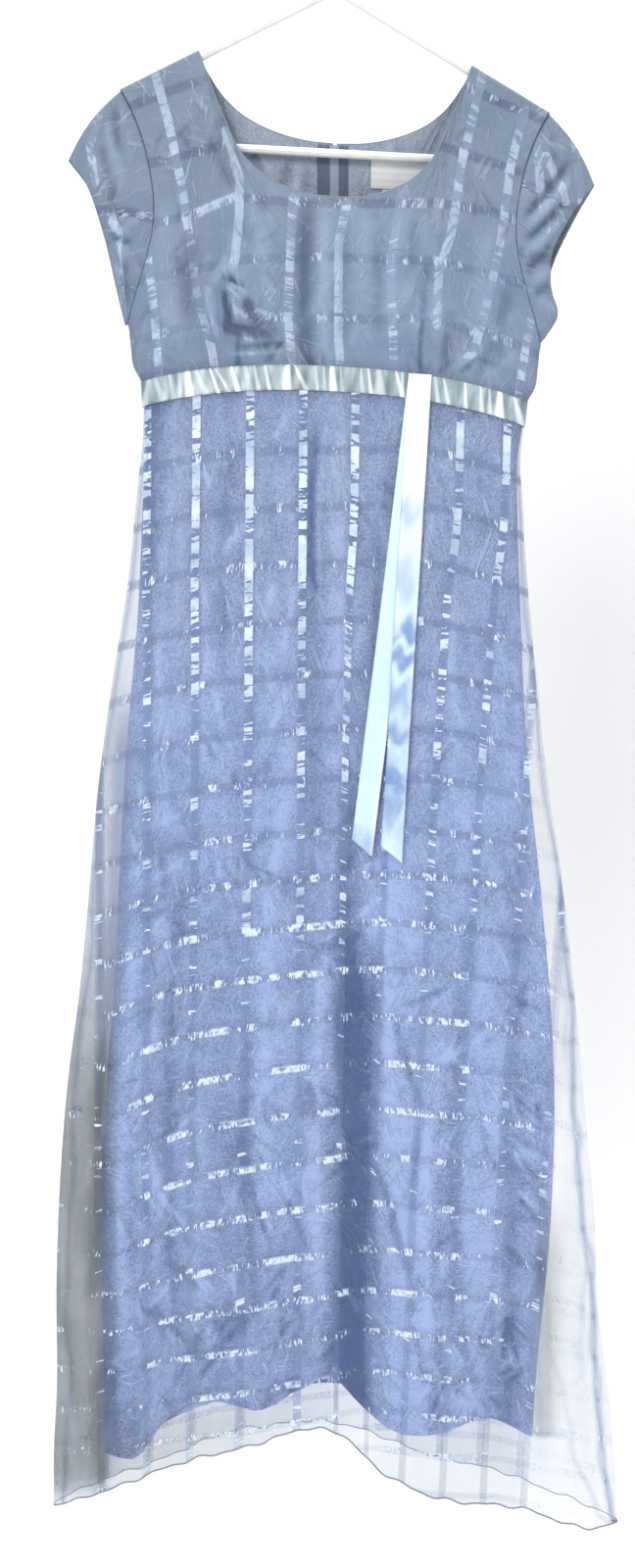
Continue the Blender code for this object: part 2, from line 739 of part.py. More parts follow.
def main():
    for leftover in list(bpy.data.objects):
        bpy.data.objects.remove(leftover)
    make_hanger()
    make_bodice()
    make_sleeves()
    make_skirt()
    make_ribbon()
    make_zip()
    make_slider()
    make_labels()


main()
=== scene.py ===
# %% [markdown]
# # A sheer maxi dress on its hanger
# The dress hangs from a white tubular hanger: a lined bodice with cap sleeves, a satin ribbon
# at the raised waist, and a sheer skirt over a narrower underskirt. This lesson puts thin,
# creased cloth on the fixed model's forms. Every length is in millimetres until a mesh is
# made: x to the right, y from front to back, and h down from the two neck points.

# %% Load the fixed model
import math

import bpy
import numpy as np
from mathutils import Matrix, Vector


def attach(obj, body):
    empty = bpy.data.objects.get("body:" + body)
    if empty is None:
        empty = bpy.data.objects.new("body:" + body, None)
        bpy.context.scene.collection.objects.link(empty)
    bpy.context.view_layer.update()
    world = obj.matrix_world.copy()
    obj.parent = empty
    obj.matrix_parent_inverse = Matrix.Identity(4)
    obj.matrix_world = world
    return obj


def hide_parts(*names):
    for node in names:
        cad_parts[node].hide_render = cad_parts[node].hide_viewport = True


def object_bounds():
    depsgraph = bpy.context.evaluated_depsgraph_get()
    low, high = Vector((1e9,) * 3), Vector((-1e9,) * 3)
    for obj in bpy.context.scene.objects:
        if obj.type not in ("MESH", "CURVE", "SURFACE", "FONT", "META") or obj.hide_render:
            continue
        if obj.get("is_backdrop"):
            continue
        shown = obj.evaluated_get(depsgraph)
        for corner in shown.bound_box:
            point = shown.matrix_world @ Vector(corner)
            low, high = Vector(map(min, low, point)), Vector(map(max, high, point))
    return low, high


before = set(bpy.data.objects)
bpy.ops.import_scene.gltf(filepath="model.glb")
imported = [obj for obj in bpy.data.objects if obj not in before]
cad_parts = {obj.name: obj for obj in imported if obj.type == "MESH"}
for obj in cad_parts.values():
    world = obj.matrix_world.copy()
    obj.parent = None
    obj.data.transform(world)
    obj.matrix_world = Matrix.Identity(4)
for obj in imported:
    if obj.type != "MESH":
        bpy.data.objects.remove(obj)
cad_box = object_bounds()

MM = 0.001
scene = bpy.context.scene
print("nodes:", len(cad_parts), "box:", [tuple(round(c, 3) for c in corner) for corner in cad_box])

# %% [markdown]
# ## Camera
# The dress was seen from chest height, a little over a metre away, with the camera tipped
# down. That nearness is what makes the hem look wide and the shoulders narrow, so the same
# place and lens are used here.

# %% Camera
camera = bpy.data.objects.new("camera", bpy.data.cameras.new("camera"))
camera.data.lens = 27.2
camera.data.sensor_width = 36.0
camera.location = (-0.016, -1.163, -0.5796)
camera.rotation_euler = (math.radians(90 - 10.995), 0, 0)
scene.collection.objects.link(camera)
scene.camera = camera
scene.view_settings.view_transform = "Standard"
print("camera at", tuple(round(c, 3) for c in camera.location))

# %% [markdown]
# ## Stage
# A pale floor that curves up into a wall leaves no horizon line behind the sheer cloth. One
# profile pushed sideways makes both. The paper is clear from behind, so that it never hides
# the dress from a camera there. Large area lights are soft, and one stronger light from the
# left gives the folds a light side and a dark side.

# %% Floor and wall in one sweep
def paint_stage():
    """Matt white paper that can be seen through from its back."""
    pale = bpy.data.materials.new("stage_paper")
    pale.use_nodes = True
    tree = pale.node_tree
    paper = tree.nodes["Principled BSDF"]
    paper.inputs["Base Color"].default_value = (0.97, 0.97, 0.97, 1)
    paper.inputs["Roughness"].default_value = 0.9
    facing = tree.nodes.new("ShaderNodeNewGeometry")
    clear = tree.nodes.new("ShaderNodeBsdfTransparent")
    choose = tree.nodes.new("ShaderNodeMixShader")
    tree.links.new(facing.outputs["Backfacing"], choose.inputs[0])
    tree.links.new(paper.outputs[0], choose.inputs[1])
    tree.links.new(clear.outputs[0], choose.inputs[2])
    tree.links.new(choose.outputs[0], tree.nodes["Material Output"].inputs["Surface"])
    return pale


def make_stage():
    floor_z, wall_y, bend = -1.72, 1.5, 0.6
    profile = [(-3.0, floor_z)]
    for step in range(13):
        angle = math.radians(step * 7.5)
        profile.append((wall_y - bend + bend * math.sin(angle), floor_z + bend - bend * math.cos(angle)))
    profile.append((wall_y, 2.0))
    places = [(x, y, z) for y, z in profile for x in (-4.0, 4.0)]
    faces = [(2 * i, 2 * i + 1, 2 * i + 3, 2 * i + 2) for i in range(len(profile) - 1)]
    mesh = bpy.data.meshes.new("stage")
    mesh.from_pydata(places, [], faces)
    mesh.shade_smooth()
    stage = bpy.data.objects.new("stage", mesh)
    mesh.materials.append(paint_stage())
    scene.collection.objects.link(stage)
    stage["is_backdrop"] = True
    return stage


stage = make_stage()
print("stage faces:", len(stage.data.polygons))

# %% Lights
LIGHTS = (
    # name, place, where it points, width, watts
    ("window", (-1.0, -2.5, 0.2), (0, 0, -0.8), 1.0, 41),
    ("room", (1.7, -2.0, -0.6), (0, 0, -0.9), 1.6, 15),
    ("wall_wash", (0.0, 0.45, 1.7), (0, 1.4, -1.3), 2.6, 62),
)


def make_lights():
    for name, place, target, width, watts in LIGHTS:
        light = bpy.data.objects.new(name, bpy.data.lights.new(name, "AREA"))
        light.data.shape = "SQUARE"
        light.data.size = width
        light.data.energy = watts
        light.location = place
        light.rotation_euler = (Vector(target) - Vector(place)).to_track_quat("-Z", "Y").to_euler()
        scene.collection.objects.link(light)
    world = bpy.data.worlds.new("world")
    scene.world = world
    world.use_nodes = True
    world.node_tree.nodes["Background"].inputs["Color"].default_value = (0.95, 0.97, 1.0, 1)
    world.node_tree.nodes["Background"].inputs["Strength"].default_value = 0.34


make_lights()
print("lights:", len(LIGHTS))

# %% [markdown]
# ## The sizes of the dress
# A garment is a few curves: its side seams, armholes, neckline and hems. Each curve is a short
# table with named columns, and a smooth line through its rows gives every height between.
# The same numbers shape the fixed model, so the fine cloth lands on its walls.

# %% Tables and smooth curves
def table(columns, *rows):
    """A dictionary of the named columns, each an array down the rows."""
    return dict(zip(columns.split(), np.array(rows, float).T))


def smooth(rows, column, at):
    """A smooth curve through a column of a table, over its first column and level beyond its ends."""
    keys, values = next(iter(rows.values())), rows[column]
    slopes = np.gradient(values, keys)
    at = np.clip(at, keys[0], keys[-1])
    i = np.clip(np.searchsorted(keys, at) - 1, 0, len(keys) - 2)
    span = keys[i + 1] - keys[i]
    t = (at - keys[i]) / span
    return (
        values[i] * (1 + 2 * t) * (1 - t) ** 2
        + slopes[i] * span * t * (1 - t) ** 2
        + values[i + 1] * t * t * (3 - 2 * t)
        + slopes[i + 1] * span * t * t * (t - 1)
    )


def ease(t):
    """0 to 1 with soft ends."""
    t = np.clip(t, 0, 1)
    return t * t * (3 - 2 * t)


NECK_DROP, TILT = 145.0, 0.05  # from the hook down to the neck points, and how far the hanger leans
NECK_X, SHOULDER_X, SHOULDER_SLOPE = 122.0, 193.0, 0.5
UNDERARM_H, WAIST_H, WAIST_SIDE_DROP, WAIST_HALF = 234.0, 277.0, 20.0, 190.0
SEAM, WALL, RIBBON_WIDTH, RIBBON_WALL = 0.3, 1.1, 22.0, 1.0
WRAP = 5.0  # how far the cloth bends out from the shoulder seam before it hangs down
WRAP_DROP = WRAP * math.hypot(1.0, SHOULDER_SLOPE)
SWELL_LENGTH, ROUNDNESS = 110.0, 2.4  # how soon it swells out, and how squarely its sides turn
ZIP_EDGE, ZIP_END_H, ZIP_TOP_H = 1.6, 566.0, 68.0

SIDES = table(
    "h left right",
    (0, 900, 900), (36, 600, 600), (80, 400, 400), (130, 290, 290), (190, 215, 215), (222, 195, 195),
    (234, 192, 192), (255, 190, 190), (272, 188, 188), (286, 181, 181), (297, 180, 180),
    (308, 180, 179), (330, 181, 177), (384, 188, 180), (470, 199, 189), (573, 218, 202),
    (672, 234, 217), (774, 246, 235), (880, 259, 250), (989, 276, 263), (1101, 288, 277),
    (1218, 296, 286), (1338, 300, 304), (1430, 307, 314), (1500, 309, 320),
)
LINING_SIDES = table(
    "h left right",
    (297, 176, 176), (330, 177, 173), (384, 182, 175), (496, 190, 182), (621, 204, 192),
    (773, 217, 212), (878, 225, 224), (987, 236, 232), (1110, 246, 233), (1336, 253, 223),
    (1440, 253, 222),
)
CLEARANCE = table("h inside", (277, 2.0), (360, 3.0), (600, 5.0), (1440, 5.5))
LINING_SEAM, LINING_FREE = 1.45, 70.0
DEPTH = table(
    "h front back curl",
    (0, 20, 12, 0), (300, 20, 12, 0), (700, 17, 13, 6), (1100, 14, 14, 15), (1500, 12, 15, 24),
)
ARMHOLE = table(
    "h x",
    (36, 193), (50, 185), (68, 177), (86, 171), (105, 167), (130, 164), (150, 165), (172, 170),
    (190, 176), (207, 182.5), (222, 188), (234, 192),
)
BODICE_TOP = table(
    "u x front back",
    (0.00, 0, 121, 66.5), (0.13, 27, 119, 65), (0.25, 52, 111, 60), (0.36, 73, 98.5, 52.5),
    (0.45, 89, 80, 43.5), (0.52, 102, 52, 32), (0.58, 112, 27, 19), (0.62, 120.4, 5.6, 5.6),
    (0.65, 121.5, 1.4, 1.4), (0.68, 122, 0, 0), (0.76, 141, 9.5, 9.5), (0.85, 163, 20.5, 20.5),
    (0.938, 181, 29.5, 29.5), (0.984, 190, 34, 34), (1.00, 193, 35.5, 35.5),
)
NECK_ROWS = 10  # the first rows of BODICE_TOP are the neckline and the rest is the shoulder
HEM = table(
    "u front back",
    (-1, 1486, 1486), (-0.7, 1450, 1456), (-0.45, 1418, 1428), (-0.2, 1393, 1408), (-0.08, 1381, 1402),
    (0.03, 1390, 1404), (0.13, 1424, 1412), (0.25, 1445, 1424), (0.45, 1462, 1440), (0.7, 1469, 1456),
    (0.9, 1484, 1470), (1, 1476, 1476),
)
LINING_HEM = table(
    "u front back",
    (-1, 1424, 1424), (-0.85, 1426, 1412), (-0.72, 1380, 1394), (-0.5, 1354, 1374), (-0.3, 1362, 1360),
    (-0.14, 1338, 1352), (0, 1322, 1348), (0.13, 1356, 1352), (0.3, 1384, 1358), (0.55, 1380, 1366),
    (0.77, 1362, 1374), (1, 1384, 1384),
)
FOLD_COLUMNS = "x0 h0 x1 h1 half0 half1 rise0 rise1"
FRONT_FOLDS = (
    (-88, 120, -86, 256, 46, 46, 8, 9), (86, 120, 84, 256, 46, 46, 8, 9),
    (2, 135, -4, 256, 26, 26, 3, 3), (12, 302, 34, 1700, 34, 46, -3, -9),
    (-62, 302, -110, 1700, 40, 60, 1, 5), (-128, 302, -205, 1700, 36, 55, -1, -4),
    (84, 302, 124, 1700, 36, 55, 1, 5), (136, 302, 210, 1700, 36, 55, -1, -4),
)
BACK_FOLDS = (
    (-80, 125, -84, 250, 44, 44, 3, 3), (80, 125, 84, 250, 44, 44, 3, 3),
    (-84, 302, -120, 1700, 40, 60, 1, 6), (-140, 302, -215, 1700, 36, 55, -1, -4),
    (78, 302, 110, 1700, 40, 60, -1, -5), (134, 302, 205, 1700, 36, 55, 1, 5),
)
FOLD_FADE = 30.0
print("waist half-width:", round(float(smooth(SIDES, "left", np.array(297.0)))), "mm")

# %% The form of the hanging cloth
def half_width(sides, x, h):
    """Distance from the centre line to the side seam that x lies towards."""
    left = smooth(sides, "left", h)
    right = smooth(sides, "right", h)
    return np.where(x < 0, left, right)


def shoulder_line(x):
    """Height of the shoulder seam, carried on towards the centre."""
    return (np.abs(x) - NECK_X) * SHOULDER_SLOPE


def folds(rows, x, h, fade=FOLD_FADE):
    """Sum of long soft folds, each with its own path, width and rise."""
    total = np.zeros(np.broadcast(x, h).shape)
    for row in rows:
        fold = dict(zip(FOLD_COLUMNS.split(), row))
        t = np.clip((h - fold["h0"]) / (fold["h1"] - fold["h0"]), 0, 1)
        middle = fold["x0"] + t * (fold["x1"] - fold["x0"])
        half = fold["half0"] + t * (fold["half1"] - fold["half0"])
        rise = fold["rise0"] + t * (fold["rise1"] - fold["rise0"])
        across = np.clip(np.abs(x - middle) / half, 0, 1)
        ends = ease((h - fold["h0"]) / fade) * ease((fold["h1"] - h) / fade)
        total = total + rise * ends * (1 + np.cos(math.pi * across)) / 2
    return total


def depth(side, x, h, sides=SIDES, inside=0.0):
    """y of the cloth: side is -1 for the front and 1 for the back."""
    below = np.maximum(h - shoulder_line(x), 0)
    turn = np.clip(below / WRAP_DROP, 0, 1)
    wrap = WRAP * np.sqrt(1 - (1 - turn) ** 2)
    swell = smooth(DEPTH, "front" if side < 0 else "back", h)
    swell = swell * (1 - np.exp(-np.maximum(below - WRAP_DROP, 0) / SWELL_LENGTH))
    across = np.clip(np.abs(x) / half_width(sides, x, h), 0, 1)
    round_off = np.sqrt(1 - across**ROUNDNESS)
    bulk = wrap + swell + folds(FRONT_FOLDS if side < 0 else BACK_FOLDS, x, h) - inside
    outer = np.abs(x) / half_width(SIDES, x, np.maximum(h, WAIST_H))
    curl = -smooth(DEPTH, "curl", h) * outer**2
    return side * (SEAM / 2 + bulk * round_off) + curl


def waist(u):
    """Height of the raised waist seam across the width."""
    return WAIST_H + WAIST_SIDE_DROP * np.abs(u) ** 2.2


def hang(points):
    """Points in x, y, h turned into places in metres, with the hanger's tilt."""
    x, y, h = np.moveaxis(np.asarray(points, float), -1, 0)
    return np.stack([x, y, -(NECK_DROP + h) - TILT * x], axis=-1) * MM


def on_form(side, x, h, *inner):
    """Points of the cloth's form, as x, y, h."""
    return np.stack([x, depth(side, x, h, *inner), h], axis=-1)


def outward(points, side):
    """Unit normals of a grid of points, facing out on this side of the dress."""
    found = np.cross(np.gradient(points, axis=0), np.gradient(points, axis=1))
    if np.mean(found[..., 1]) * side < 0:
        found = -found
    return found / np.maximum(np.linalg.norm(found, axis=2, keepdims=True), 1e-9)


def pushed(points, side, by):
    """The points moved out along their normals, or in where by is negative."""
    return points + outward(points, side) * np.asarray(by)[..., None]


def across_panel(sign, columns):
    """Columns from -1 to 1, or of one half where the sign picks it."""
    return np.linspace(-1 if sign <= 0 else 0, 1 if sign >= 0 else 0, columns)


print("front swells to y =", round(float(depth(-1, np.array(0.0), np.array(250.0))), 1), "mm at the bust")

# %% [markdown]
# ## Creases
# Cloth that hangs has long folds, and cloth that was packed has short sharp creases over them.
# A cloth simulation would find folds of its own, so the ones that matter are listed one by one:
# each is a line with a width and a rise, negative for a trough, and it fades at both ends.
# Fine crumples, where no single line matters, come in small seeded bursts like crow's feet.

# %% Lines of creases and bursts of crumples
def creases(x, h, rows):
    """Height of the creases at each point. A row is x0 h0 x1 h1 width rise."""
    total = np.zeros(x.shape)
    for x0, h0, x1, h1, width, rise in rows:
        length = math.hypot(x1 - x0, h1 - h0)
        along = ((x - x0) * (x1 - x0) + (h - h0) * (h1 - h0)) / length**2
        away = ((x - x0) * (h1 - h0) - (h - h0) * (x1 - x0)) / length
        away = away + 0.12 * length * along * (1 - along)
        fade = ease(4 * np.minimum(along, 1 - along))
        total += rise * fade * np.exp(-((away / width) ** 2))
    return total


def crumples(seed, count, box, length, width, rise, upright=0.0):
    """Rows for creases(): bursts of three or four lines that leave one point."""
    random = np.random.default_rng(seed)
    left, right, top, bottom = box
    rows = []
    while len(rows) < count:
        x, h = random.uniform(left, right), random.uniform(top, bottom)
        turn = random.uniform(0, math.pi)
        for _ in range(random.integers(2, 5)):
            angle = turn + random.uniform(-0.9, 0.9)
            angle = upright * math.pi / 2 * np.sign(math.sin(angle)) + (1 - upright) * angle
            reach = length * random.uniform(0.5, 1.4)
            wide = width * random.uniform(0.7, 1.5)
            high = rise * random.choice([-1.0, 1.0]) * random.uniform(0.5, 1.0)
            rows.append((x, h, x + reach * math.cos(angle), h + reach * math.sin(angle), wide, high))
    return rows


def nearest(x, h, lines):
    """Distance to the nearest of some bent lines, and the third number of their points there."""
    found, carried = np.full(x.shape, 1000.0), np.zeros(x.shape)
    for line in lines:
        for (ax, ah, a_shine), (bx, bh, b_shine) in zip(line[:-1], line[1:]):
            square = (bx - ax) ** 2 + (bh - ah) ** 2
            t = np.clip(((x - ax) * (bx - ax) + (h - ah) * (bh - ah)) / square, 0, 1)
            away = np.hypot(x - ax - t * (bx - ax), h - ah - t * (bh - ah))
            carried = np.where(away < found, a_shine + t * (b_shine - a_shine), carried)
            found = np.minimum(found, away)
    return found, carried


print("a burst:", len(crumples(1, 4, (0, 9, 0, 9), 5, 1, 1)), "lines")

# %% [markdown]
# ## Shader maths
# A material is a graph, and its sums are easier to read as sums. One small class wraps a
# socket, so that a + b adds a Math node, and another makes the nodes and sets them.

# %% Values and paints
class Value:
    """One output of a node. Sums and products of values add Math nodes."""

    def __init__(self, paint, socket):
        self.paint = paint
        self.socket = socket

    def math(self, operation, *values):
        return self.paint.node("ShaderNodeMath", {"operation": operation}, dict(enumerate(values)))

    def __add__(self, other):
        return self.math("ADD", self, other)

    def __sub__(self, other):
        return self.math("SUBTRACT", self, other)

    def __rsub__(self, other):
        return self.math("SUBTRACT", other, self)

    def __mul__(self, other):
        return self.math("MULTIPLY", self, other)

    __radd__ = __add__
    __rmul__ = __mul__

    def top(self, other):
        return self.math("MAXIMUM", self, other)

    def ramp(self, start, end):
        """0 before start and 1 past end, with soft ends. Start may be the larger."""
        if start < end:
            return self.paint.node(
                "ShaderNodeMapRange", {"interpolation_type": "SMOOTHSTEP"},
                {"Value": self, "From Min": start, "From Max": end},
            )
        return 1 - self.ramp(end, start)


class Paint:
    """A material in the making: its shader, and the nodes that feed it."""

    def __init__(self, name, **uniform):
        self.material = bpy.data.materials.new(name)
        self.material.use_nodes = True
        self.tree = self.material.node_tree
        self.shader = self.tree.nodes["Principled BSDF"]
        for socket, value in uniform.items():
            self.shader.inputs[socket.replace("_", " ")].default_value = value

    def node(self, kind, settings, values, output=0):
        made = self.tree.nodes.new(kind)
        for setting, value in settings.items():
            setattr(made, setting, value)
        self.plug(made, values)
        return Value(self, made.outputs[output])

    def plug(self, made, values):
        for key, value in values.items():
            if isinstance(value, Value):
                self.tree.links.new(value.socket, made.inputs[key])
            else:
                made.inputs[key].default_value = value

    def feed(self, **values):
        self.plug(self.shader, {key.replace("_", " "): value for key, value in values.items()})

    def mix(self, share, one, other):
        """The colour one, going to the other as share goes from 0 to 1."""
        return self.node("ShaderNodeMix", {"data_type": "RGBA"}, {0: share, 6: one, 7: other}, 2)

    def vector(self, operation, *values):
        return self.node("ShaderNodeVectorMath", {"operation": operation}, dict(enumerate(values)))

    def parts(self, vector):
        """The x, y and z of a vector, as three values."""
        apart = self.tree.nodes.new("ShaderNodeSeparateXYZ")
        self.plug(apart, {0: vector})
        return [Value(self, socket) for socket in apart.outputs]

    def cloth_uv(self, across=1.0, down=1.0):
        """The piece's own flat coordinates in metres, stretched by these factors."""
        uv = self.node("ShaderNodeUVMap", {"uv_map": "cloth"}, {})
        return self.vector("MULTIPLY", uv, (across, down, 1.0))

    def place(self):
        return self.node("ShaderNodeTexCoord", {}, {}, "Object")

    def noise(self, vector, scale, detail=2.0, roughness=0.5, distortion=0.0):
        settings = {"Scale": scale, "Detail": detail, "Roughness": roughness, "Distortion": distortion}
        return self.node("ShaderNodeTexNoise", {}, {"Vector": vector, **settings})

    def facets(self, scale, drift):
        """Flat patches that meet in sharp ridges, like paper that was crushed and opened."""
        noise = {"Vector": self.cloth_uv(), "Scale": scale * 0.8, "Detail": 2.0}
        bent = self.node("ShaderNodeTexNoise", {}, noise, "Color")
        moved = self.vector("ADD", self.vector("MULTIPLY", bent, (drift,) * 3), self.cloth_uv(1.2, 0.75))
        cells = {"Vector": moved, "Scale": scale}
        return self.node("ShaderNodeTexVoronoi", {"feature": "F1"}, cells, "Distance")

    def streaks(self, turn, thin, long, gate):
        """Straight fine creases that all run one way, in patches."""
        angle = {"Vector": self.cloth_uv(), "Angle": math.radians(turn)}
        turned = self.node("ShaderNodeVectorRotate", {"rotation_type": "Z_AXIS"}, angle)
        own_slice = (0.0, 0.0, turn)  # each direction reads another slice of the noise
        drawn = self.vector("MULTIPLY_ADD", turned, (thin, long, 1.0), own_slice)
        line = self.noise(drawn, 1.0, 2.0, 0.55, 0.35)
        patches = self.noise(self.vector("ADD", self.cloth_uv(), own_slice), gate, 1.0)
        return line.ramp(0.54, 0.7) * patches.ramp(0.44, 0.6)

    def lower(self, start, end):
        """0 above the height start and 1 below the height end, both in metres."""
        return self.parts(self.place())[2].ramp(start, end)

    def marks(self, name):
        """The three numbers that a mesh stores at each point under this name."""
        return self.parts(self.node("ShaderNodeAttribute", {"attribute_name": name}, {}, "Vector"))

    def bump(self, height, distance):
        values = {"Height": height, "Distance": distance * MM, "Strength": 1.0}
        return self.node("ShaderNodeBump", {}, values, "Normal")


def ink(red, green, blue):
    """A colour as screens show it, 0 to 255, turned into the light that it reflects."""
    light = [((c / 255 + 0.055) / 1.055) ** 2.4 if c > 10 else c / 3294 for c in (red, green, blue)]
    return (*light, 1.0)


print("periwinkle reflects", [round(c, 2) for c in ink(145, 160, 205)[:3]])

# %% [markdown]
# ## The striped organza
# Satin threads are woven into the organza as bars about 8 mm wide, 50 mm apart, both ways.
# Where the light catches a bar it glints, in broken patches, and elsewhere it looks a little
# darker than the cloth. The glints are painted highlights, a paler colour mixed in. The mesh
# stores how far each point is from the nearest bar, and how readily it glints, so the bars
# bend with the cloth and stay sharp at any size.

# %% Bars and their glints
BAR = 3.9  # half of a bar's width
FAR = 9.0  # a distance at which no bar or seam shows


def shade(colour, factor):
    """The same colour, reflecting this much of the light that it did."""
    return tuple(min(c * factor, 1.0) for c in colour[:3]) + (1.0,)


def add_bars(paint, cloth, upright_bar, level_bar, bright):
    """The cloth's colour with its bars, and masks of the bars and of their glints, which are painted
    highlights.
    """
    upright, level, _ = paint.marks("bars")
    upright_shine, level_shine, _ = paint.marks("shine")
    ragged = (paint.noise(paint.cloth_uv(), 650.0, 2.0) - 0.5) * 3.2
    is_upright = (upright + ragged * 0.5).ramp(BAR + 0.5, BAR - 0.5)
    is_level = (level + ragged * 1.2).ramp(BAR + 1.6, BAR - 1.2)

    def patches(across, down):
        """Noise with this many patches to the metre, across and down the cloth."""
        return paint.noise(paint.cloth_uv(across, down), 1.0)

    blocks = patches(3.0, 84.0) * 0.7 + patches(70.0, 330.0) * 0.3
    strength = patches(6.0, 24.0).ramp(0.35, 0.62) * 0.45 + 0.55
    dashes = patches(62.0, 8.0) * 0.55 + patches(520.0, 110.0) * 0.45
    broken = paint.noise(paint.cloth_uv(), 130.0, 2.0)
    upright_glint = is_upright * (blocks + upright_shine * 0.13).ramp(0.56, 0.585)
    upright_glint = upright_glint * (broken.ramp(0.2, 0.5) * 0.4 + 0.6) * strength
    level_glint = is_level * (dashes + level_shine * 0.16).ramp(0.565, 0.6) * broken.ramp(0.22, 0.56)
    glint = upright_glint.top(level_glint)
    colour = paint.mix(is_level * (paint.noise(paint.cloth_uv(), 150.0, 2.0) * 0.9 + 0.2), cloth, level_bar)
    colour = paint.mix(is_upright * (0.78 - paint.lower(-0.85, -1.05) * 0.15), colour, upright_bar)
    # painted highlight: where a bar glints, the colour goes to the bright one
    colour = paint.mix(glint, colour, bright)
    return colour, is_upright, is_level, glint


def add_hollows(paint, colour, cloth):
    """Troughs are painted darker and ridges paler, as painted shade and painted light, and a sewn edge is a
    dark blue line.
    """
    _, _, seam = paint.marks("bars")
    _, _, shading = paint.marks("shine")
    # painted shade: troughs go towards a darker, bluer copy of the cloth; painted light: ridges go towards
    # a paler copy
    hollow = tuple(c * dim for c, dim in zip(cloth, (0.26, 0.31, 0.42, 1)))
    colour = paint.mix((0.5 - shading) * 1.5, colour, hollow)
    colour = paint.mix((shading - 0.5) * 0.9, colour, shade(cloth, 1.9))
    return paint.mix(seam.ramp(1.3, 0.5) * 0.75, colour, ink(50, 62, 88))


def paint_bodice():
    paint = Paint("organza_on_lining", Sheen_Weight=0.2, Sheen_Roughness=0.4, Specular_IOR_Level=0.35)
    cloth = ink(122, 138, 156)
    # upright bars, level bars, and the colour of the painted glints
    inks = ink(138, 155, 180), ink(79, 93, 121), ink(200, 216, 238)
    colour, is_upright, is_level, glint = add_bars(paint, cloth, *inks)
    bar = is_upright.top(is_level)
    colour = paint.mix(paint.lower(-0.22, -0.38) * (1 - glint) * 0.55, colour, ink(122, 140, 174))
    mottle = paint.noise(paint.cloth_uv(1.0, 0.7), 26.0, 5.0, 0.65, 0.6)
    colour = paint.mix(mottle.ramp(0.3, 0.7) * (0.36 - is_level * 0.2), colour, ink(159, 172, 191))
    weave = paint.noise(paint.cloth_uv(), 750.0, 2.0)
    colour = paint.mix(weave.ramp(0.3, 0.7) * 0.3, colour, ink(92, 108, 134))
    colour = add_hollows(paint, colour, cloth)
    lines = paint.streaks(18, 190.0, 26.0, 19.0) + paint.streaks(-27, 210.0, 30.0, 23.0)
    lines = lines + paint.streaks(68, 230.0, 34.0, 21.0) * 0.7
    crumple = paint.noise(paint.cloth_uv(1.0, 0.7), 55.0, 4.0, 0.6, 0.4)
    crumple = crumple + paint.facets(46.0, 0.004) * 0.6 + lines * 0.45
    # painted highlights along the fine creases
    colour = paint.mix(lines * 0.3, colour, ink(180, 194, 218))
    paint.feed(
        Base_Color=colour,
        Roughness=0.6 - glint * 0.26 - bar * 0.08,
        Normal=paint.bump(crumple * 0.9 + weave * 0.12, 2.2),
    )
    return paint.material


def paint_sheer():
    paint = Paint("sheer_organza", Sheen_Weight=0.12, Sheen_Roughness=0.35, Specular_IOR_Level=0.3)
    cloth = ink(156, 172, 202)
    # upright bars, level bars, and the colour of the painted glints
    inks = ink(106, 124, 168), ink(104, 120, 160), ink(220, 234, 250)
    colour, is_upright, is_level, glint = add_bars(paint, cloth, *inks)
    thin, grey, level_weight = paint.marks("sheer")
    # painted shade: where the grey mark is high the sheer is mixed towards these greys, as shade seen
    # through it, and greyer at the hem
    drifts = paint.noise(paint.cloth_uv(1.5, 0.35), 26.0, 3.0).ramp(0.35, 0.65)
    grey_and_shade_colour = paint.mix(drifts, ink(84, 93, 101), ink(126, 133, 138))
    colour = add_hollows(paint, paint.mix(grey * (1 - glint), colour, grey_and_shade_colour), cloth)
    weave = paint.noise(paint.cloth_uv(), 620.0, 2.0)
    veil = paint.noise(paint.cloth_uv(1.6, 0.5), 20.0, 3.0)
    woven = is_upright * (0.26 - paint.lower(-0.85, -1.05) * 0.06) + is_level * 0.24 * level_weight
    alpha = thin + (veil - 0.5) * 0.14 + (weave - 0.5) * 0.12 + woven + glint * 0.55
    crumple = paint.noise(paint.cloth_uv(1.2, 0.8), 45.0, 3.0, 0.6, 0.8)
    paint.feed(
        Base_Color=colour,
        Alpha=alpha.math("MINIMUM", alpha, 1.0),
        Roughness=0.55 - glint * 0.25,
        Normal=paint.bump(crumple + weave * 0.1, 1.2),
    )
    return paint.material


organza_on_lining = paint_bodice()
sheer_organza = paint_sheer()
print("organza nodes:", len(organza_on_lining.node_tree.nodes), len(sheer_organza.node_tree.nodes))
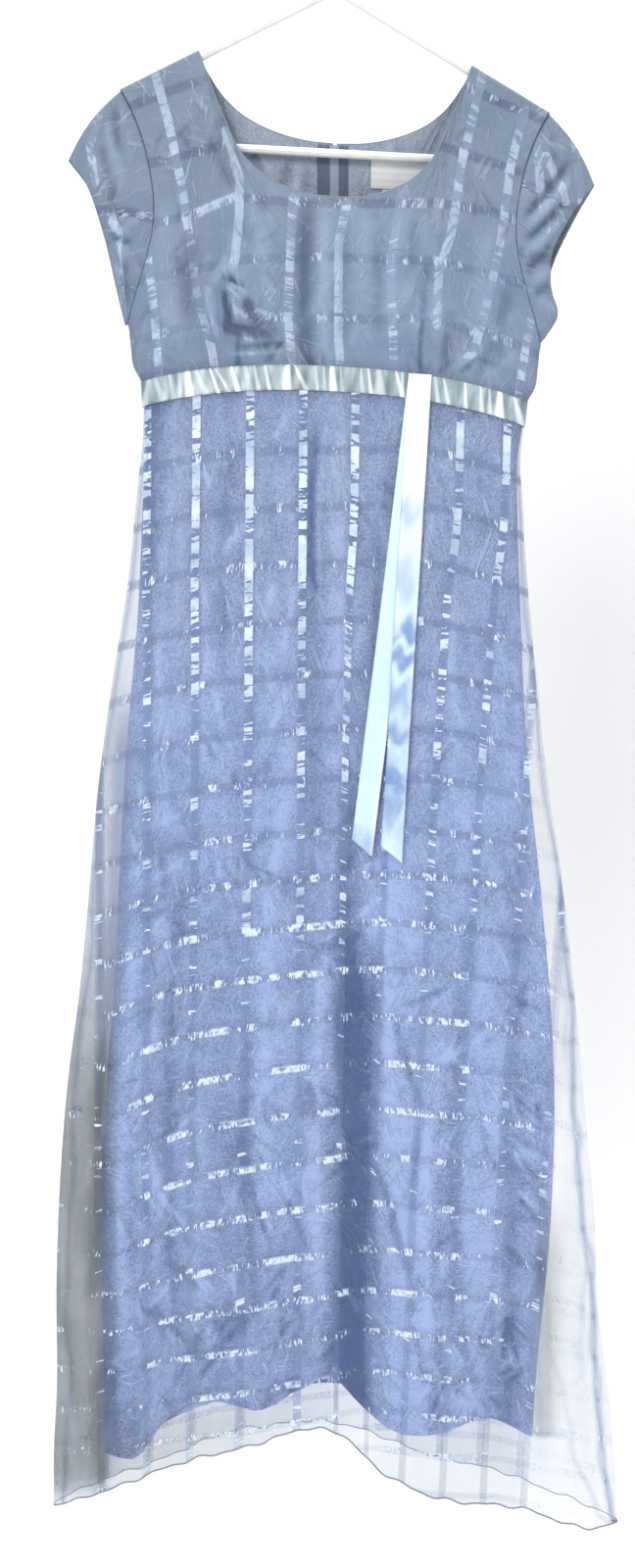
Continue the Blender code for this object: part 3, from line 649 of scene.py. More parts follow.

# %% [markdown]
# ## The underskirt's cloth
# The lining is a plain acetate satin that was packed for years: small sharp creases over soft
# waves. The mesh carries the larger creases. The finest ones are ridges of noise in the bump,
# because they are narrower than a mesh face. They hardly show in deep shade. The colour holds
# painted shade and painted light: darker in troughs and folds, paler on ridges, and the crinkles'
# patches and crease lines painted paler and darker.

# %% Lining, satin, tape and label
def paint_lining(name, light, grey, dark, crease=1.0):
    paint = Paint(name, Sheen_Weight=0.1, Sheen_Roughness=0.4, Specular_IOR_Level=0.4)
    _, _, shading = paint.marks("shine")
    cloud = paint.noise(paint.cloth_uv(1.0, 0.6), 18.0, 5.0, 0.65, 0.5)
    large, small = paint.facets(30.0, 0.006), paint.facets(84.0, 0.003)
    steep = paint.streaks(20, 170.0, 22.0, 15.0) + paint.streaks(-24, 190.0, 26.0, 18.0)
    flat = paint.streaks(63, 200.0, 30.0, 17.0) + paint.streaks(-72, 220.0, 34.0, 21.0)
    lines = steep + flat * (paint.lower(-0.8, -1.15) * 0.6 + 0.3)
    fine = paint.noise(paint.cloth_uv(1.5, 1.0), 190.0, 4.0, 0.75, 0.4)
    grain = paint.noise(paint.cloth_uv(), 430.0, 1.0)
    shown = (shading.ramp(-0.1, 0.45) * 0.65 + 0.35) * crease  # creases hardly show in deep shade
    # painted light and shade on the crinkles: patches and crease lines make the colour paler and darker;
    # the grain is the cloth's own
    patches = (cloud - 0.5) * 0.5 + (large - 0.42) * 0.26 + (small - 0.42) * 0.26 + (fine - 0.5)
    crease_light_and_grain = lines * 0.42 + (grain - 0.5) * 1.1
    height = large * 0.7 + small * 0.5 + fine * 0.4 + lines * 0.7
    satin = paint.mix(paint.lower(-0.45, -0.85), grey, light)
    # painted shade: the shading mark mixes the satin towards the dark colour in troughs and folds
    paint.feed(
        Base_Color=paint.mix(shading + (patches + crease_light_and_grain) * shown, dark, satin),
        Roughness=0.46 + cloud * 0.1,
        Normal=paint.bump(height * crease, 2.6),
    )
    return paint.material


def paint_satin(name, base, bright, dark, white=(1.0, 1.0, 1.0, 1.0)):
    paint = Paint(name, Anisotropic=0.3, Specular_IOR_Level=0.6, Sheen_Weight=0.1)
    shine, hollow, _ = paint.marks("lustre")
    ripple = paint.noise(paint.cloth_uv(1.0, 0.3), 120.0, 3.0, 0.6, 0.6)
    hollow_noise = paint.noise(paint.cloth_uv(0.8, 0.6), 42.0, 3.0, 0.6, 0.8)
    colour = paint.mix(ripple.ramp(0.42, 0.7) * 0.7, base, bright)
    # hollow darkens towards the dark colour: painted shade in the ribbon's puckers, and the tails' darker
    # bands
    colour = paint.mix(hollow * (hollow_noise.ramp(0.3, 0.6) * 0.7 + 0.3), colour, dark)
    # painted highlights: the streaks go to white
    colour = paint.mix(shine, colour, white)
    paint.feed(Base_Color=colour, Roughness=0.36 - shine * 0.1, Normal=paint.bump(ripple, 0.5))
    return paint.material


def paint_woven(name, colour, roughness, strip=None):
    """A plain woven tape: fine ribs across it, uneven dye, and perhaps a paler strip down it."""
    paint = Paint(name, Sheen_Weight=0.15)
    ribs = paint.node(
        "ShaderNodeTexWave", {"wave_type": "BANDS", "bands_direction": "Y"},
        {"Vector": paint.cloth_uv(), "Scale": 55.0, "Distortion": 1.0, "Detail": 1.0},
    )
    uneven = paint.noise(paint.cloth_uv(), 90.0, 3.0)
    dyed = paint.mix(uneven * 0.6 + ribs * 0.25, colour, shade(colour, 0.75))
    if strip:
        left, right, pale = strip
        across, soft = paint.parts(paint.cloth_uv())[0], 0.0008
        inside = across.ramp(left - soft, left + soft) * across.ramp(right + soft, right - soft)
        dyed = paint.mix(inside, dyed, pale)
    paint.feed(Base_Color=dyed, Roughness=roughness + uneven * 0.08, Normal=paint.bump(ribs, 0.12))
    return paint.material


def paint_hard(name, colour, roughness, scale, metallic=0.0, depth_mm=0.05):
    """Moulded plastic or metal: a low mottle in gloss and surface."""
    paint = Paint(name, Metallic=metallic)
    mottle = paint.noise(paint.place(), scale, 3.0, 0.55)
    paint.feed(
        Base_Color=paint.mix(mottle.ramp(0.3, 0.7), colour, shade(colour, 0.9)),
        Roughness=roughness + mottle * 0.12,
        Normal=paint.bump(mottle, depth_mm),
    )
    return paint.material


# the last colour of each lining is the colour of its painted shade
lining_cloth = paint_lining("crinkled_lining", ink(186, 206, 252), ink(186, 202, 236), ink(48, 70, 130))
bodice_lining = paint_lining("bodice_lining", ink(176, 188, 202), ink(176, 188, 202), ink(84, 98, 122), 0.6)
waist_satin = paint_satin("waist_satin", ink(152, 172, 182), ink(198, 214, 218), ink(112, 131, 140))
tail_inks = ink(214, 243, 251), ink(230, 249, 253), ink(128, 158, 208), ink(250, 254, 254)
tail_satin = paint_satin("tail_satin", *tail_inks)
COIL_STRIP = (0.0115, 0.0195, ink(140, 152, 172))  # where the coil shows between the tapes, in metres
tape_cloth = paint_woven("zip_tape_cloth", ink(88, 101, 120), 0.75, COIL_STRIP)
seam_cloth = paint_woven("seam_cloth", ink(132, 148, 172), 0.7)
hem_thread = paint_woven("hem_thread", ink(136, 144, 160), 0.65)
label_cloth = paint_woven("label_cloth", ink(228, 229, 231), 0.7)
label_thread = paint_woven("label_thread", ink(214, 214, 210), 0.6)
coil_nylon = paint_hard("coil_nylon", ink(96, 110, 142), 0.4, 500.0)
zip_metal = paint_hard("zip_metal", ink(186, 188, 192), 0.3, 900.0, 1.0)
hanger_plastic = paint_hard("hanger_plastic", ink(244, 244, 243), 0.22, 60.0, 0.0, 0.12)
print("materials:", len(bpy.data.materials))

# %% [markdown]
# ## From a grid to a piece
# Each panel is a grid of points, rows down and columns across, which keeps the weave's flat
# coordinates with it. A grid becomes a mesh with a UV map and the stored marks. Lined pieces
# get their second face from a Solidify modifier, with the lining's material on the inside.

# %% Meshes from grids
def flat_uv(points):
    """How far each point is across and down its panel, in metres, measured on the cloth."""
    across = np.linalg.norm(np.diff(points, axis=1), axis=2).mean(axis=0)
    down = np.linalg.norm(np.diff(points, axis=0), axis=2).mean(axis=1)
    across = np.concatenate([[0], np.cumsum(across)])
    down = np.concatenate([[0], np.cumsum(down)])
    grid = np.meshgrid(across, down)
    return np.stack(grid, axis=-1) * MM


def grid_piece(name, points, material, side=-1, inner=None, thickness=0.7, **marks):
    """A piece of cloth from a grid of points in x, y, h. Its marks are grids of three numbers."""
    rows, columns = points.shape[:2]
    index = np.arange(rows * columns).reshape(rows, columns)
    corners = [index[:-1, :-1], index[1:, :-1], index[1:, 1:], index[:-1, 1:]]
    if side > 0:
        corners.reverse()
    quads = np.stack(corners, axis=-1).reshape(-1, 4)
    mesh = bpy.data.meshes.new(name)
    mesh.from_pydata(hang(points).reshape(-1, 3).tolist(), [], quads.tolist())
    layer = mesh.uv_layers.new(name="cloth")
    uv = flat_uv(points).reshape(-1, 2)[quads.reshape(-1)]
    layer.data.foreach_set("uv", uv.ravel().astype(np.float32))
    for mark, values in marks.items():
        stored = mesh.attributes.new(mark, "FLOAT_VECTOR", "POINT")
        stored.data.foreach_set("vector", np.asarray(values, np.float32).reshape(-1))
    mesh.shade_smooth()
    mesh.materials.append(material)
    piece = bpy.data.objects.new(name, mesh)
    scene.collection.objects.link(piece)
    if inner:
        mesh.materials.append(inner)
        wall = piece.modifiers.new("wall", "SOLIDIFY")
        wall.thickness = thickness * MM
        wall.offset = 0.0
        wall.material_offset = 1
        wall.use_even_offset = False
    return piece


def area_of(piece):
    return sum(polygon.area for polygon in piece.data.polygons)


def settle(piece, slot, *nodes):
    """The piece rides on the dress and stands for its CAD nodes, which are hidden. The slot is not used."""
    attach(piece, "dress")
    if nodes:
        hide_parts(*nodes)
    print(f"{piece.name}: {len(piece.data.polygons)} faces, {area_of(piece):.3f} m2")
    return piece


def stack(*grids):
    return np.stack(np.broadcast_arrays(*grids), axis=-1)


print("ready to cut cloth")

# %% [markdown]
# ## Bodice
# A front panel and two back panels, organza over lining, meet at the shoulders and sides. The
# front is shaped by two bust darts. Old creases run up from the waist, and the cloth by the
# left dart is crumpled. Lofting between the neckline and the waist keeps the edges exact, and
# the creases are added along the normals.

# %% Where the bodice's bars, darts and creases run
BODICE_UPRIGHTS = (
    # the x, h and shine of each bend of each bar
    [(-168, -8, 0.6), (-161, 22, 0.8), (-150, 60, 0.8), (-138, 116, 0.5), (-131, 165, 0.3),
     (-127, 204, 0.4), (-113, 256, 0.8), (-108, 292, 0.1)],
    [(-98, 69, 0.7), (-86, 109, 0.9), (-86, 140, 1.1), (-90, 180, 1), (-98, 190, 0.1), (-76, 256, 0)],
    [(-38, 124, 0.6), (-41, 180, 0.4), (-43, 224, 0.7), (-40, 256, 0.1), (-38, 292, 0)],
    [(-172, 160, 0.1), (-166, 222, 0.7), (-164, 256, 0.7), (-162, 300, 0.1)],
    [(12, 118, 0.7), (3, 160, 1.1), (3, 242, 1.1), (5, 264, 0.8), (6, 290, 0.5)],
    [(60, 110, 0), (50, 174, 0), (54, 262, 0.1), (56, 290, 0)],
    [(133, 2, 0), (124, 40, 0.1), (112, 90, 0.7), (109, 120, 0.3), (104, 146, 0.8), (93, 182, 0.6),
     (92, 226, 0.4)],
    [(170, 36, -0.1), (162, 66, 0.1), (157, 87, 0.7), (151, 141, 0.8), (146, 170, 0), (137, 210, 0.7),
     (128, 245, 0.7), (112, 262, 0.1)],
    [(186, 186, 0.3), (182, 206, 0.9), (174, 256, 0.9), (170, 296, 0.3)],
)
BODICE_LEVELS = (
    [(-181, 50, 0), (-126, 29, 0), (-118, 27, 0)],
    [(118, 20, 0), (129, 25, 0), (145, 31, 0), (174, 39, 0), (186, 44, 0)],
    [(-189, 107, 0.1), (-172, 101, 0.1), (-100, 81, 0.1)],
    [(93, 72, 0), (164, 89, 0)],
    [(-172, 152, 0), (-130, 142, 0.2), (-122, 139, 1), (-90, 125, 1.1), (-84, 126, 0), (-37, 127, 0.1),
     (27, 125, 0.1), (88, 121, 0.4), (96, 121, 0.9), (104, 122, 0.2), (142, 125, 0.1), (192, 138, 0.1)],
    [(-183, 199, 0), (-128, 188, 0.1), (-74, 178, 0.2), (-9, 172, 0.1), (84, 172, 0.2), (92, 172, 1.1),
     (106, 173, 0.6), (118, 175, 0), (180, 186, 0.1)],
    [(-187, 251, 0.1), (-129, 235, 0.1), (-83, 226, 0.2), (-20, 226, 0), (75, 221, 0.1),
     (84, 222, 0.6), (94, 224, 0.1), (145, 230, 0.1), (189, 243, 0.1)],
)
BODICE_CREASES = (
    # x0 h0 x1 h1 width rise
    (-88, 240, -88, 276, 2.0, -1.6),  # left dart
    (84, 170, 80, 222, 5.0, -2.2),  # fold that runs into the right dart
    (80, 214, 80, 276, 2.2, -1.8),  # right dart
    (94, 188, 96, 240, 5, 1.6),
    (-94, 176, -114, 204, 3.8, 3.6),  # crumple beside the left dart
    (-117, 198, -106, 250, 3.4, 3.6), (-84, 184, -110, 196, 3.5, 2), (-108, 236, -60, 240, 4.6, -4.4),
    (-104, 190, -80, 205, 3.6, -3.4), (-101, 202, -96, 238, 2.6, -3.8), (-93, 208, -88, 234, 1.8, 3),
    (-84, 210, -64, 236, 5, -3.4), (-97, 198, -78, 209, 1.8, 3.6), (-90, 192, -84, 206, 1.6, 2.2),
    (-112, 200, -116, 232, 3, 2.4), (-76, 221, -50, 226, 2.4, 3.6), (-66, 190, -48, 212, 3, 1.6),
    (-60, 200, -56, 222, 6, 1.6), (-94, 253, -42, 246, 2.4, -1.6), (-100, 259, -40, 253, 2.2, 1.4),
    (-62, 130, -66, 190, 9, 1.6),
    (-6, 112, -6, 282, 6.0, 1.8),  # light ridge below the neckline, and the hollow to its left
    (-23, 110, -23, 282, 8, -2.4), (30, 118, 28, 215, 9, 1.4), (12, 130, 10, 260, 6, -0.9),
    (58, 126, 52, 235, 8, 1), (42, 140, 42, 250, 6, -1),
    (113, 266, 133, 249, 2.6, -1.4),  # wrinkles under the right bust
    (130, 249, 150, 257, 2.6, -1.2), (115, 258, 134, 243, 2.4, 1.2), (152, 256, 168, 244, 2.6, 1),
    (108, 254, 94, 270, 2.6, -1.2), (-150, 120, -152, 262, 12, 1.4), (-130, 150, -134, 240, 9, -1.4),
    (140, 130, 136, 240, 10, 1.2), (160, 180, 152, 262, 7, -1.2), (-176, 215, -150, 250, 5, -0.9),
    (170, 205, 150, 236, 5, 0.9),
)
BACK_CREASES = (
    (-24, 74, -26, 190, 4, -1.2), (-34, 76, -33, 190, 4, 1.4), (-46, 74, -43, 170, 4, -1),
    (-60, 70, -56, 200, 5, 1.2), (-72, 64, -68, 160, 4, -0.9), (26, 84, 24, 200, 4, -1.1),
    (36, 104, 34, 200, 4, 1.4), (48, 110, 50, 240, 7, 1), (-110, 90, -96, 240, 10, 1.2),
    (108, 96, 98, 236, 10, -1.2), (-150, 150, -120, 262, 6, -1.1), (146, 140, 124, 256, 6, 1.1),
    (-84, 236, -84, 276, 2.2, -1.3), (84, 236, 84, 276, 2.2, -1.3), (-70, 262, -34, 252, 2.8, 1),
    (66, 258, 30, 264, 2.8, -1),
)
BACK_UPRIGHTS = tuple(
    [(x, 20, 0.7), (x * 0.94, 140, 0.6), (x * 0.9, 276, 0.8)]
    for x in (-171, -122, -74, -26, 26, 74, 122, 171)
)
BACK_LEVELS = tuple(
    [(-195, h + 14, 0.1), (0, h, 0.2), (195, h + 14, 0.1)] for h in (-16, 36, 88, 140, 192, 244)
)
print("front bodice creases:", len(BODICE_CREASES))

# %% Bodice panels
def bodice_grid(side, sign, columns, rows):
    """Points of a bodice panel. Sign is 0 for the whole width, or picks a half."""
    u = across_panel(sign, columns)
    width = np.abs(u)
    neck = {name: BODICE_TOP[name][:NECK_ROWS] for name in BODICE_TOP}

    def top_edge(column):
        """A column of BODICE_TOP: smooth along the neck and straight along the shoulder."""
        on_neck = smooth(neck, column, width)
        on_shoulder = np.interp(width, BODICE_TOP["u"], BODICE_TOP[column])
        return np.where(width < neck["u"][-1], on_neck, on_shoulder)

    top = top_edge("front" if side < 0 else "back")
    x = np.sign(u) * top_edge("x")
    lip = 6.0  # the cloth bends fastest over the hanger, in the first few millimetres
    near = lip * np.linspace(0, 1, 8)[:-1] ** 1.6
    bottom = waist(u)
    rest = np.linspace(0, 1, rows)[:, None] * (bottom - top - lip)
    h = np.concatenate([top + near[:, None], top + lip + rest])
    edge_h = h[:, -1:] if sign >= 0 else h[:, :1]
    at_armhole, at_side = smooth(ARMHOLE, "x", edge_h), half_width(SIDES, 1.0, edge_h)
    edge = np.where(edge_h < UNDERARM_H, at_armhole, at_side)
    down = (h - top) / (bottom - top)
    reach = ((1 - down) * x / SHOULDER_X + down * u) * edge
    if sign:
        reach = reach + sign * ZIP_EDGE * (1 - width)
    return on_form(side, reach, h), edge - np.abs(reach)


def shading_of(height, gain=0.2, middle=0.5):
    """A ridge looks a little paler than a trough, where less light reaches."""
    return np.clip(middle + gain * height, 0, 1)


BODICE_PANELS = (
    # name, side, sign, columns, rows, seed, flat width, area
    ("front", -1, 0, 260, 150, 11, 0.45, 0.100),
    ("back_left", 1, -1, 96, 110, 20, 0.23, 0.053),
    ("back_right", 1, 1, 96, 110, 22, 0.23, 0.053),
)
LABEL_AREA = (24, 101, 126)  # left, right and bottom of the place behind the labels


def make_bodice(name, side, sign, columns, rows, seed):
    if side < 0:
        lines, uprights, levels = BODICE_CREASES, BODICE_UPRIGHTS, BODICE_LEVELS
    else:
        lines, uprights, levels = BACK_CREASES, BACK_UPRIGHTS, BACK_LEVELS
    points, from_edge = bodice_grid(side, sign, columns, rows)
    x, h = points[..., 0], points[..., 2]
    box = (-185, 185, 60, 272)
    rise = creases(x, h, list(lines) + crumples(seed, 150, box, 24, 1.9, 0.8, 0.3))
    rise = rise + creases(x, h, crumples(seed + 1, 44, box, 60, 5.0, 1.2, 0.55))
    free = ease((h - shoulder_line(x)) / 30) * ease((waist(x / WAIST_HALF) - h) / 6)
    free = free * ease(from_edge / 8) * ease((h - points[0, :, 2]) / 8)
    if sign:
        free = free * ease(np.abs(x) / 12)
    rise = rise * free
    if side > 0:  # the back panel stays calm over the labels inside it
        left, right, bottom = LABEL_AREA
        rise = rise * (1 - 0.85 * ease((x - left) / 8) * ease((right - x) / 8) * ease((bottom - h) / 8))
    points = pushed(points, side, rise * 0.85)
    upright, upright_shine = nearest(x, h, uprights)
    level, level_shine = nearest(x, h, levels)
    armhole = np.where(h < UNDERARM_H + 6, from_edge, FAR)
    # painted shade: darker in the creases' troughs, a painted shadow just above the ribbon, and the left
    # side and upper right painted darker
    shading = shading_of(rise, 0.22) - 0.2 * ease((h - waist(x / WAIST_HALF) + 24) / 14)
    shading = shading - 0.1 * ease((-x - 60) / 60) - 0.08 * ease((x - 70) / 50) * ease((170 - h) / 60)
    return grid_piece(
        name, points, organza_on_lining, side, bodice_lining,
        bars=stack(upright, level, armhole), shine=stack(upright_shine, level_shine, shading),
    )


for name, side, sign, columns, rows, seed, flat_width, area in BODICE_PANELS:
    panel = make_bodice(f"cloth_bodice_{name}", side, sign, columns, rows, seed)
    settle(panel, "bodice_cloth", f"bodice_{name}")

# %% [markdown]
# ## Cap sleeves
# A cap sleeve is one piece that goes all round the armhole, longest at the shoulder. Rings of
# points run from the armhole to the sleeve's hem, bulged in the middle, so the tube stays open.
# The left cap has a long crease from its top and a crumple halfway down, and the right one has
# folds that fan up from the underarm.

# %% Sleeve shapes and creases
SLEEVE_HEM = {
    "left": table(
        "q front_x front_h front_y back_x back_h back_y",
        (0.0, 242, 97, 0, 242, 97, 0), (0.3, 223, 122, 9, 224, 121, 8), (0.55, 211, 158, 12, 213, 158, 10),
        (0.8, 202, 198, 9, 204, 197, 8), (1.0, 195, 236, 0, 195, 236, 0),
    ),
    "right": table(
        "q front_x front_h front_y back_x back_h back_y",
        (0.0, 236, 94, 0, 236, 94, 0), (0.3, 213, 125, 12, 220, 123, 8), (0.55, 197, 158, 15, 204, 158, 10),
        (0.8, 199, 190, 12, 199, 188, 9), (0.92, 205, 211, 8, 204, 210, 6), (1.0, 196, 227, 0, 196, 227, 0),
    ),
}
CAP_BULGE, SIDE_BULGE = 5.0, 5.0
TUCK_IN, TUCK_UNDER = 1.6, 0.9  # the sleeve starts under the bodice's edge
LEFT_SLEEVE_CREASES = (
    (-198, 44, -194, 96, 4, -1.8), (-206, 60, -190, 118, 5, 1.5), (-212, 80, -196, 136, 4, -1.2),
    (-212, 138, -172, 144, 3.5, -2.6), (-196, 146, -174, 150, 2.6, 2.4),
    (-208, 152, -182, 160, 2.6, 2.2), (-206, 160, -180, 168, 2.6, -2),
    (-204, 168, -184, 176, 2.6, 1.8), (-203, 180, -186, 190, 3, -1.4), (-200, 176, -196, 228, 4, 1.6),
    (-192, 184, -191, 226, 3.5, -1.6), (-224, 96, -206, 110, 4, 1.2),
)
RIGHT_SLEEVE_CREASES = (
    (166, 132, 214, 72, 3.6, -3), (170, 140, 216, 88, 4.2, 2.8), (168, 150, 212, 106, 3.4, -2.8),
    (168, 164, 208, 124, 3.8, 2.8), (170, 174, 202, 146, 3.4, -3), (176, 184, 204, 164, 3.4, 2.4),
    (180, 192, 203, 180, 3, -2), (184, 196, 206, 204, 4.5, 2), (182, 60, 214, 66, 5, 1.2),
    (196, 48, 200, 88, 4, -1.2),
)
SLEEVE_UPRIGHTS = (
    [(-209, 28, 0), (-214, 66, 0), (-221, 84, 0.5), (-216, 117, 0.4)],
    [(-203, 140, 0), (-201, 150, 0.7), (-195, 160, 0.3), (-193, 234, 0.2)],
    [(172, 20, 0.3), (181, 62, 0.6), (184, 99, 0.5), (190, 138, 0.1)],
    [(190, 74, 0.5), (208, 112, 0.8)],
    [(214, 40, 0.2), (224, 112, 0.1)],
)
SLEEVE_LEVELS = (
    [(-245, 138, 0.1), (-160, 146, 0.3)],
    [(-245, 204, 0.1), (-160, 206, 0.1)],
    [(160, 96, 0.1), (230, 122, 0.1)],
    [(160, 156, 0), (230, 170, 0)],
)


def sleeve_grid(sign, name, stations, rows):
    """A ring of columns round the armhole, and rows out to the hem."""
    hem = SLEEVE_HEM[name]
    q = (1 - np.cos(np.linspace(0, math.pi, stations + 1))) / 2
    top_h = ARMHOLE["h"][0]
    h = top_h + q * (UNDERARM_H - top_h)
    x = smooth(ARMHOLE, "x", h)
    ring, edge = [], []
    for side, label in ((-1, "front"), (1, "back")):
        y = depth(side, x, h) - side * TUCK_UNDER
        y[0] = y[-1] = 0
        ring.append(np.stack([x - TUCK_IN, y, h], axis=-1))
        ends = [smooth(hem, f"{label}_{axis}", q) for axis in "xyh"]
        edge.append(np.stack([ends[0], side * ends[1], ends[2]], axis=-1))
    armhole = np.concatenate([ring[0], ring[1][-2::-1]])
    opening = np.concatenate([edge[0], edge[1][-2::-1]])
    drop = np.concatenate([q, q[-2::-1]])
    facing = np.sign(armhole[:, 1])
    cap = CAP_BULGE * np.cos(drop * math.pi / 2) ** 2
    puff = SIDE_BULGE * np.sin(drop * math.pi)
    bulge = np.stack([0.8 * cap, facing * puff, -0.6 * cap], axis=-1)
    share = np.linspace(0, 1, rows)[:, None, None]
    points = armhole + share * (opening - armhole) + np.sin(math.pi * share) * bulge
    down = np.gradient(points, axis=0)
    around = np.gradient(points, axis=1)
    around[:, 0] = around[:, -1] = points[:, 1] - points[:, -2]
    out = np.cross(down, around)
    out /= np.linalg.norm(out, axis=2, keepdims=True)
    points[..., 0] *= sign
    out[..., 0] *= sign
    return points, out, share[..., 0]


def make_sleeve(name, sign, lines, seed):
    points, out, share = sleeve_grid(sign, name, 56, 34)
    x, h = points[..., 0], points[..., 2]
    fades = ease(share * 5) * (0.35 + 0.65 * ease((1 - share) * 6))
    box = (-240, -165, 40, 230) if sign < 0 else (165, 240, 40, 230)
    rise = creases(x, h, list(lines) + crumples(seed, 40, box, 24, 2.2, 0.8, 0.2)) * fades
    # calm at the top and at the underarm
    ends = np.sin(np.linspace(0, math.pi, points.shape[1]) * 2) ** 2
    rise = rise * (0.25 + 0.75 * np.minimum(1, 3 * ends))
    points = points + out * rise[..., None]
    upright, upright_shine = nearest(x, h, SLEEVE_UPRIGHTS)
    level, level_shine = nearest(x, h, SLEEVE_LEVELS)
    # painted shade in the creases' troughs, and the left sleeve painted darker than the right
    shading = shading_of(rise, 0.2, 0.4 if sign < 0 else 0.47)
    return grid_piece(
        f"cloth_sleeve_{name}", points, organza_on_lining, sign, bodice_lining,
        bars=stack(upright, level, 40.0 * share), shine=stack(upright_shine, level_shine, shading),
    )


SLEEVES = (("left", -1, LEFT_SLEEVE_CREASES, 31), ("right", 1, RIGHT_SLEEVE_CREASES, 32))
for name, sign, lines, seed in SLEEVES:
    sleeve = settle(make_sleeve(name, sign, lines, seed), "bodice_cloth", f"sleeve_{name}")

# %% [markdown]
# ## Underskirt
# The lining skirt hangs inside the overlay, narrower and shorter, and shows through it. Down
# the middle is a deep fold, which looks dark: its shade is painted into the colour as well. It is
# one loft per panel with the large folds of the fixed model, then long creases, then crumples that
# grow towards the hem.

# %% Underskirt panels
SKIRT_SHADING = (
    # painted shade and painted light: long bands that look darker or lighter than the cloth round them, as
    # in FOLD_COLUMNS
    (-24, 240, -18, 1500, 18, 24, -2.2, -0.4), (2, 240, 10, 760, 15, 18, 2.8, 0.8),
    (34, 240, 36, 700, 18, 20, -1.2, -0.3), (15, 520, 16, 1060, 22, 24, -1.6, -3.8),
    (24, 760, 23, 1700, 30, 33, -3.4, -6.2), (2, 940, 0, 1700, 24, 28, -0.8, -3),
    (80, 600, 84, 1700, 26, 34, 0.6, 2.6), (-20, 640, -26, 1700, 22, 26, 0.3, 1.2),
    (-110, 700, -130, 1700, 26, 34, -0.6, -2.4), (180, 600, 196, 1700, 26, 26, -0.8, -3.2),
    (140, 600, 150, 1700, 40, 40, 0.5, 2), (-168, 160, -176, 620, 24, 26, -3, -0.6),
    (-94, 160, -96, 520, 14, 16, -1.8, -0.3), (-144, 200, -146, 560, 12, 14, 1.4, 0.3),
    (-212, 600, -222, 1700, 14, 16, -0.8, -1.6), (-236, 560, -248, 1700, 20, 24, -1.4, -4.4),
    (-150, 1160, -150, 1560, 34, 34, -0.4, -3), (-46, 1180, -44, 1560, 30, 30, -0.4, -3.2),
    (108, 900, 120, 1700, 14, 16, -0.4, -1.8),
)
LONG_CREASES = (
    (-6, 296, -10, 520, 3.5, 1), (-14, 296, -18, 480, 3.5, -1), (58, 300, 44, 640, 5, -0.9),
    (-150, 330, -164, 760, 7, 1), (-96, 320, -104, 600, 6, -0.9), (120, 330, 128, 720, 6, 1),
    (-40, 620, -66, 1120, 7, 1.3), (-140, 700, -166, 1330, 8, -1.4), (-196, 760, -216, 1360, 8, 1.5),
    (66, 640, 84, 1240, 8, 1.4), (140, 760, 150, 1340, 9, -1.5), (186, 800, 190, 1330, 8, 1.4),
    (0, 760, -6, 1290, 7, 1.6), (-42, 306, -56, 338, 2.4, 1.6), (-84, 409, -107, 443, 2.6, 1.8),
    (-85, 513, -94, 542, 2.4, 1.4), (-54, 462, -71, 514, 3, 2), (-34, 461, -49, 540, 2.6, 1.6),
    (-40, 556, -64, 621, 3.2, 2), (-132, 420, -120, 500, 2.6, 1.4), (-118, 560, -96, 640, 3, 1.6),
    (96, 380, 84, 460, 3, 1.4), (110, 520, 128, 600, 3.2, 1.6), (60, 880, 98, 1010, 4, -2.6),
    (96, 1000, 84, 1120, 3.2, -1.8), (132, 900, 104, 1000, 3, 1.8), (-60, 1060, -20, 1180, 3.6, -2),
    (-40, 1060, -10, 1160, 3, 2), (-100, 1020, -60, 1180, 3, -1.8), (-200, 1020, -170, 1140, 3.2, 1.8),
    (42, 1055, 64, 1116, 5, -2.6), (62, 1100, 84, 1196, 5, -3), (52, 760, 58, 1320, 6, -1.4),
    (-84, 880, -70, 1330, 7, -1.3), (100, 980, 118, 1350, 7, 1.4), (-40, 1180, -20, 1330, 4, -1.2),
    (-230, 1000, -160, 1150, 4, 1.1), (-60, 980, 20, 1090, 4, 1), (90, 900, 40, 1010, 4, -1),
    (170, 1080, 110, 1200, 4.5, 1.2), (-180, 1180, -100, 1260, 4.5, -1.2),
    (128, 1180, 160, 1330, 5, -1.2), (84, 1210, 104, 1330, 4, -1.4),
)


def spread(sign, columns):
    """Columns across a skirt, closer together where the cloth turns round the side."""
    s = across_panel(sign, columns)
    return np.sign(s) * (1 - (1 - np.abs(s)) ** 1.3)


def edge_inset(h):
    """Half of the gap between the back panels: open along the zip, then a plain seam."""
    return SEAM / 2 + (ZIP_EDGE - SEAM / 2) * ease((ZIP_END_H + 18 - h) / 15)


def skirt_grid(side, sign, sides, hem, columns, rows, lined=False):
    """Points of a panel of the overlay, or of the underskirt inside it."""
    u = spread(sign, columns)
    bottom = smooth(hem, "front" if side < 0 else "back", u)
    if hem is HEM:
        bottom = bottom + (1.5 * np.sin(u * 43) + 1.1 * np.sin(u * 71 + 1)) * ease((1 - np.abs(u)) * 8)
    h = waist(u) + np.linspace(0, 1, rows)[:, None] * (bottom - waist(u))
    x = u * half_width(sides, u, h)
    if sign:
        x = x + sign * edge_inset(h) * (1 - np.abs(u))
    inside = smooth(CLEARANCE, "inside", h) if lined else 0.0
    points = on_form(side, x, h, sides, inside)
    if lined:
        over = skirt_grid(side, sign, SIDES, hem, columns, rows)
        free = ease((h - waist(u)) / LINING_FREE)[..., None]
        points = free * points + (1 - free) * pushed(over, side, -LINING_SEAM)
    return points


def on_side(side, rows, stretch, lower=0):
    """Rows of creases for this side: the back has the front's, mirrored and moved."""
    if side < 0:
        return list(rows)
    return [
        (-stretch * x0, h0 + lower, -stretch * x1, h1, width, rise)
        for x0, h0, x1, h1, width, rise in rows
    ]


LINING_PANELS = (
    # name, side, sign, columns, rows, seed, flat width, area
    ("front", -1, 0, 190, 440, 41, 0.52, 0.48),
    ("back_left", 1, -1, 96, 380, 43, 0.27, 0.25),
    ("back_right", 1, 1, 96, 380, 51, 0.26, 0.24),
)


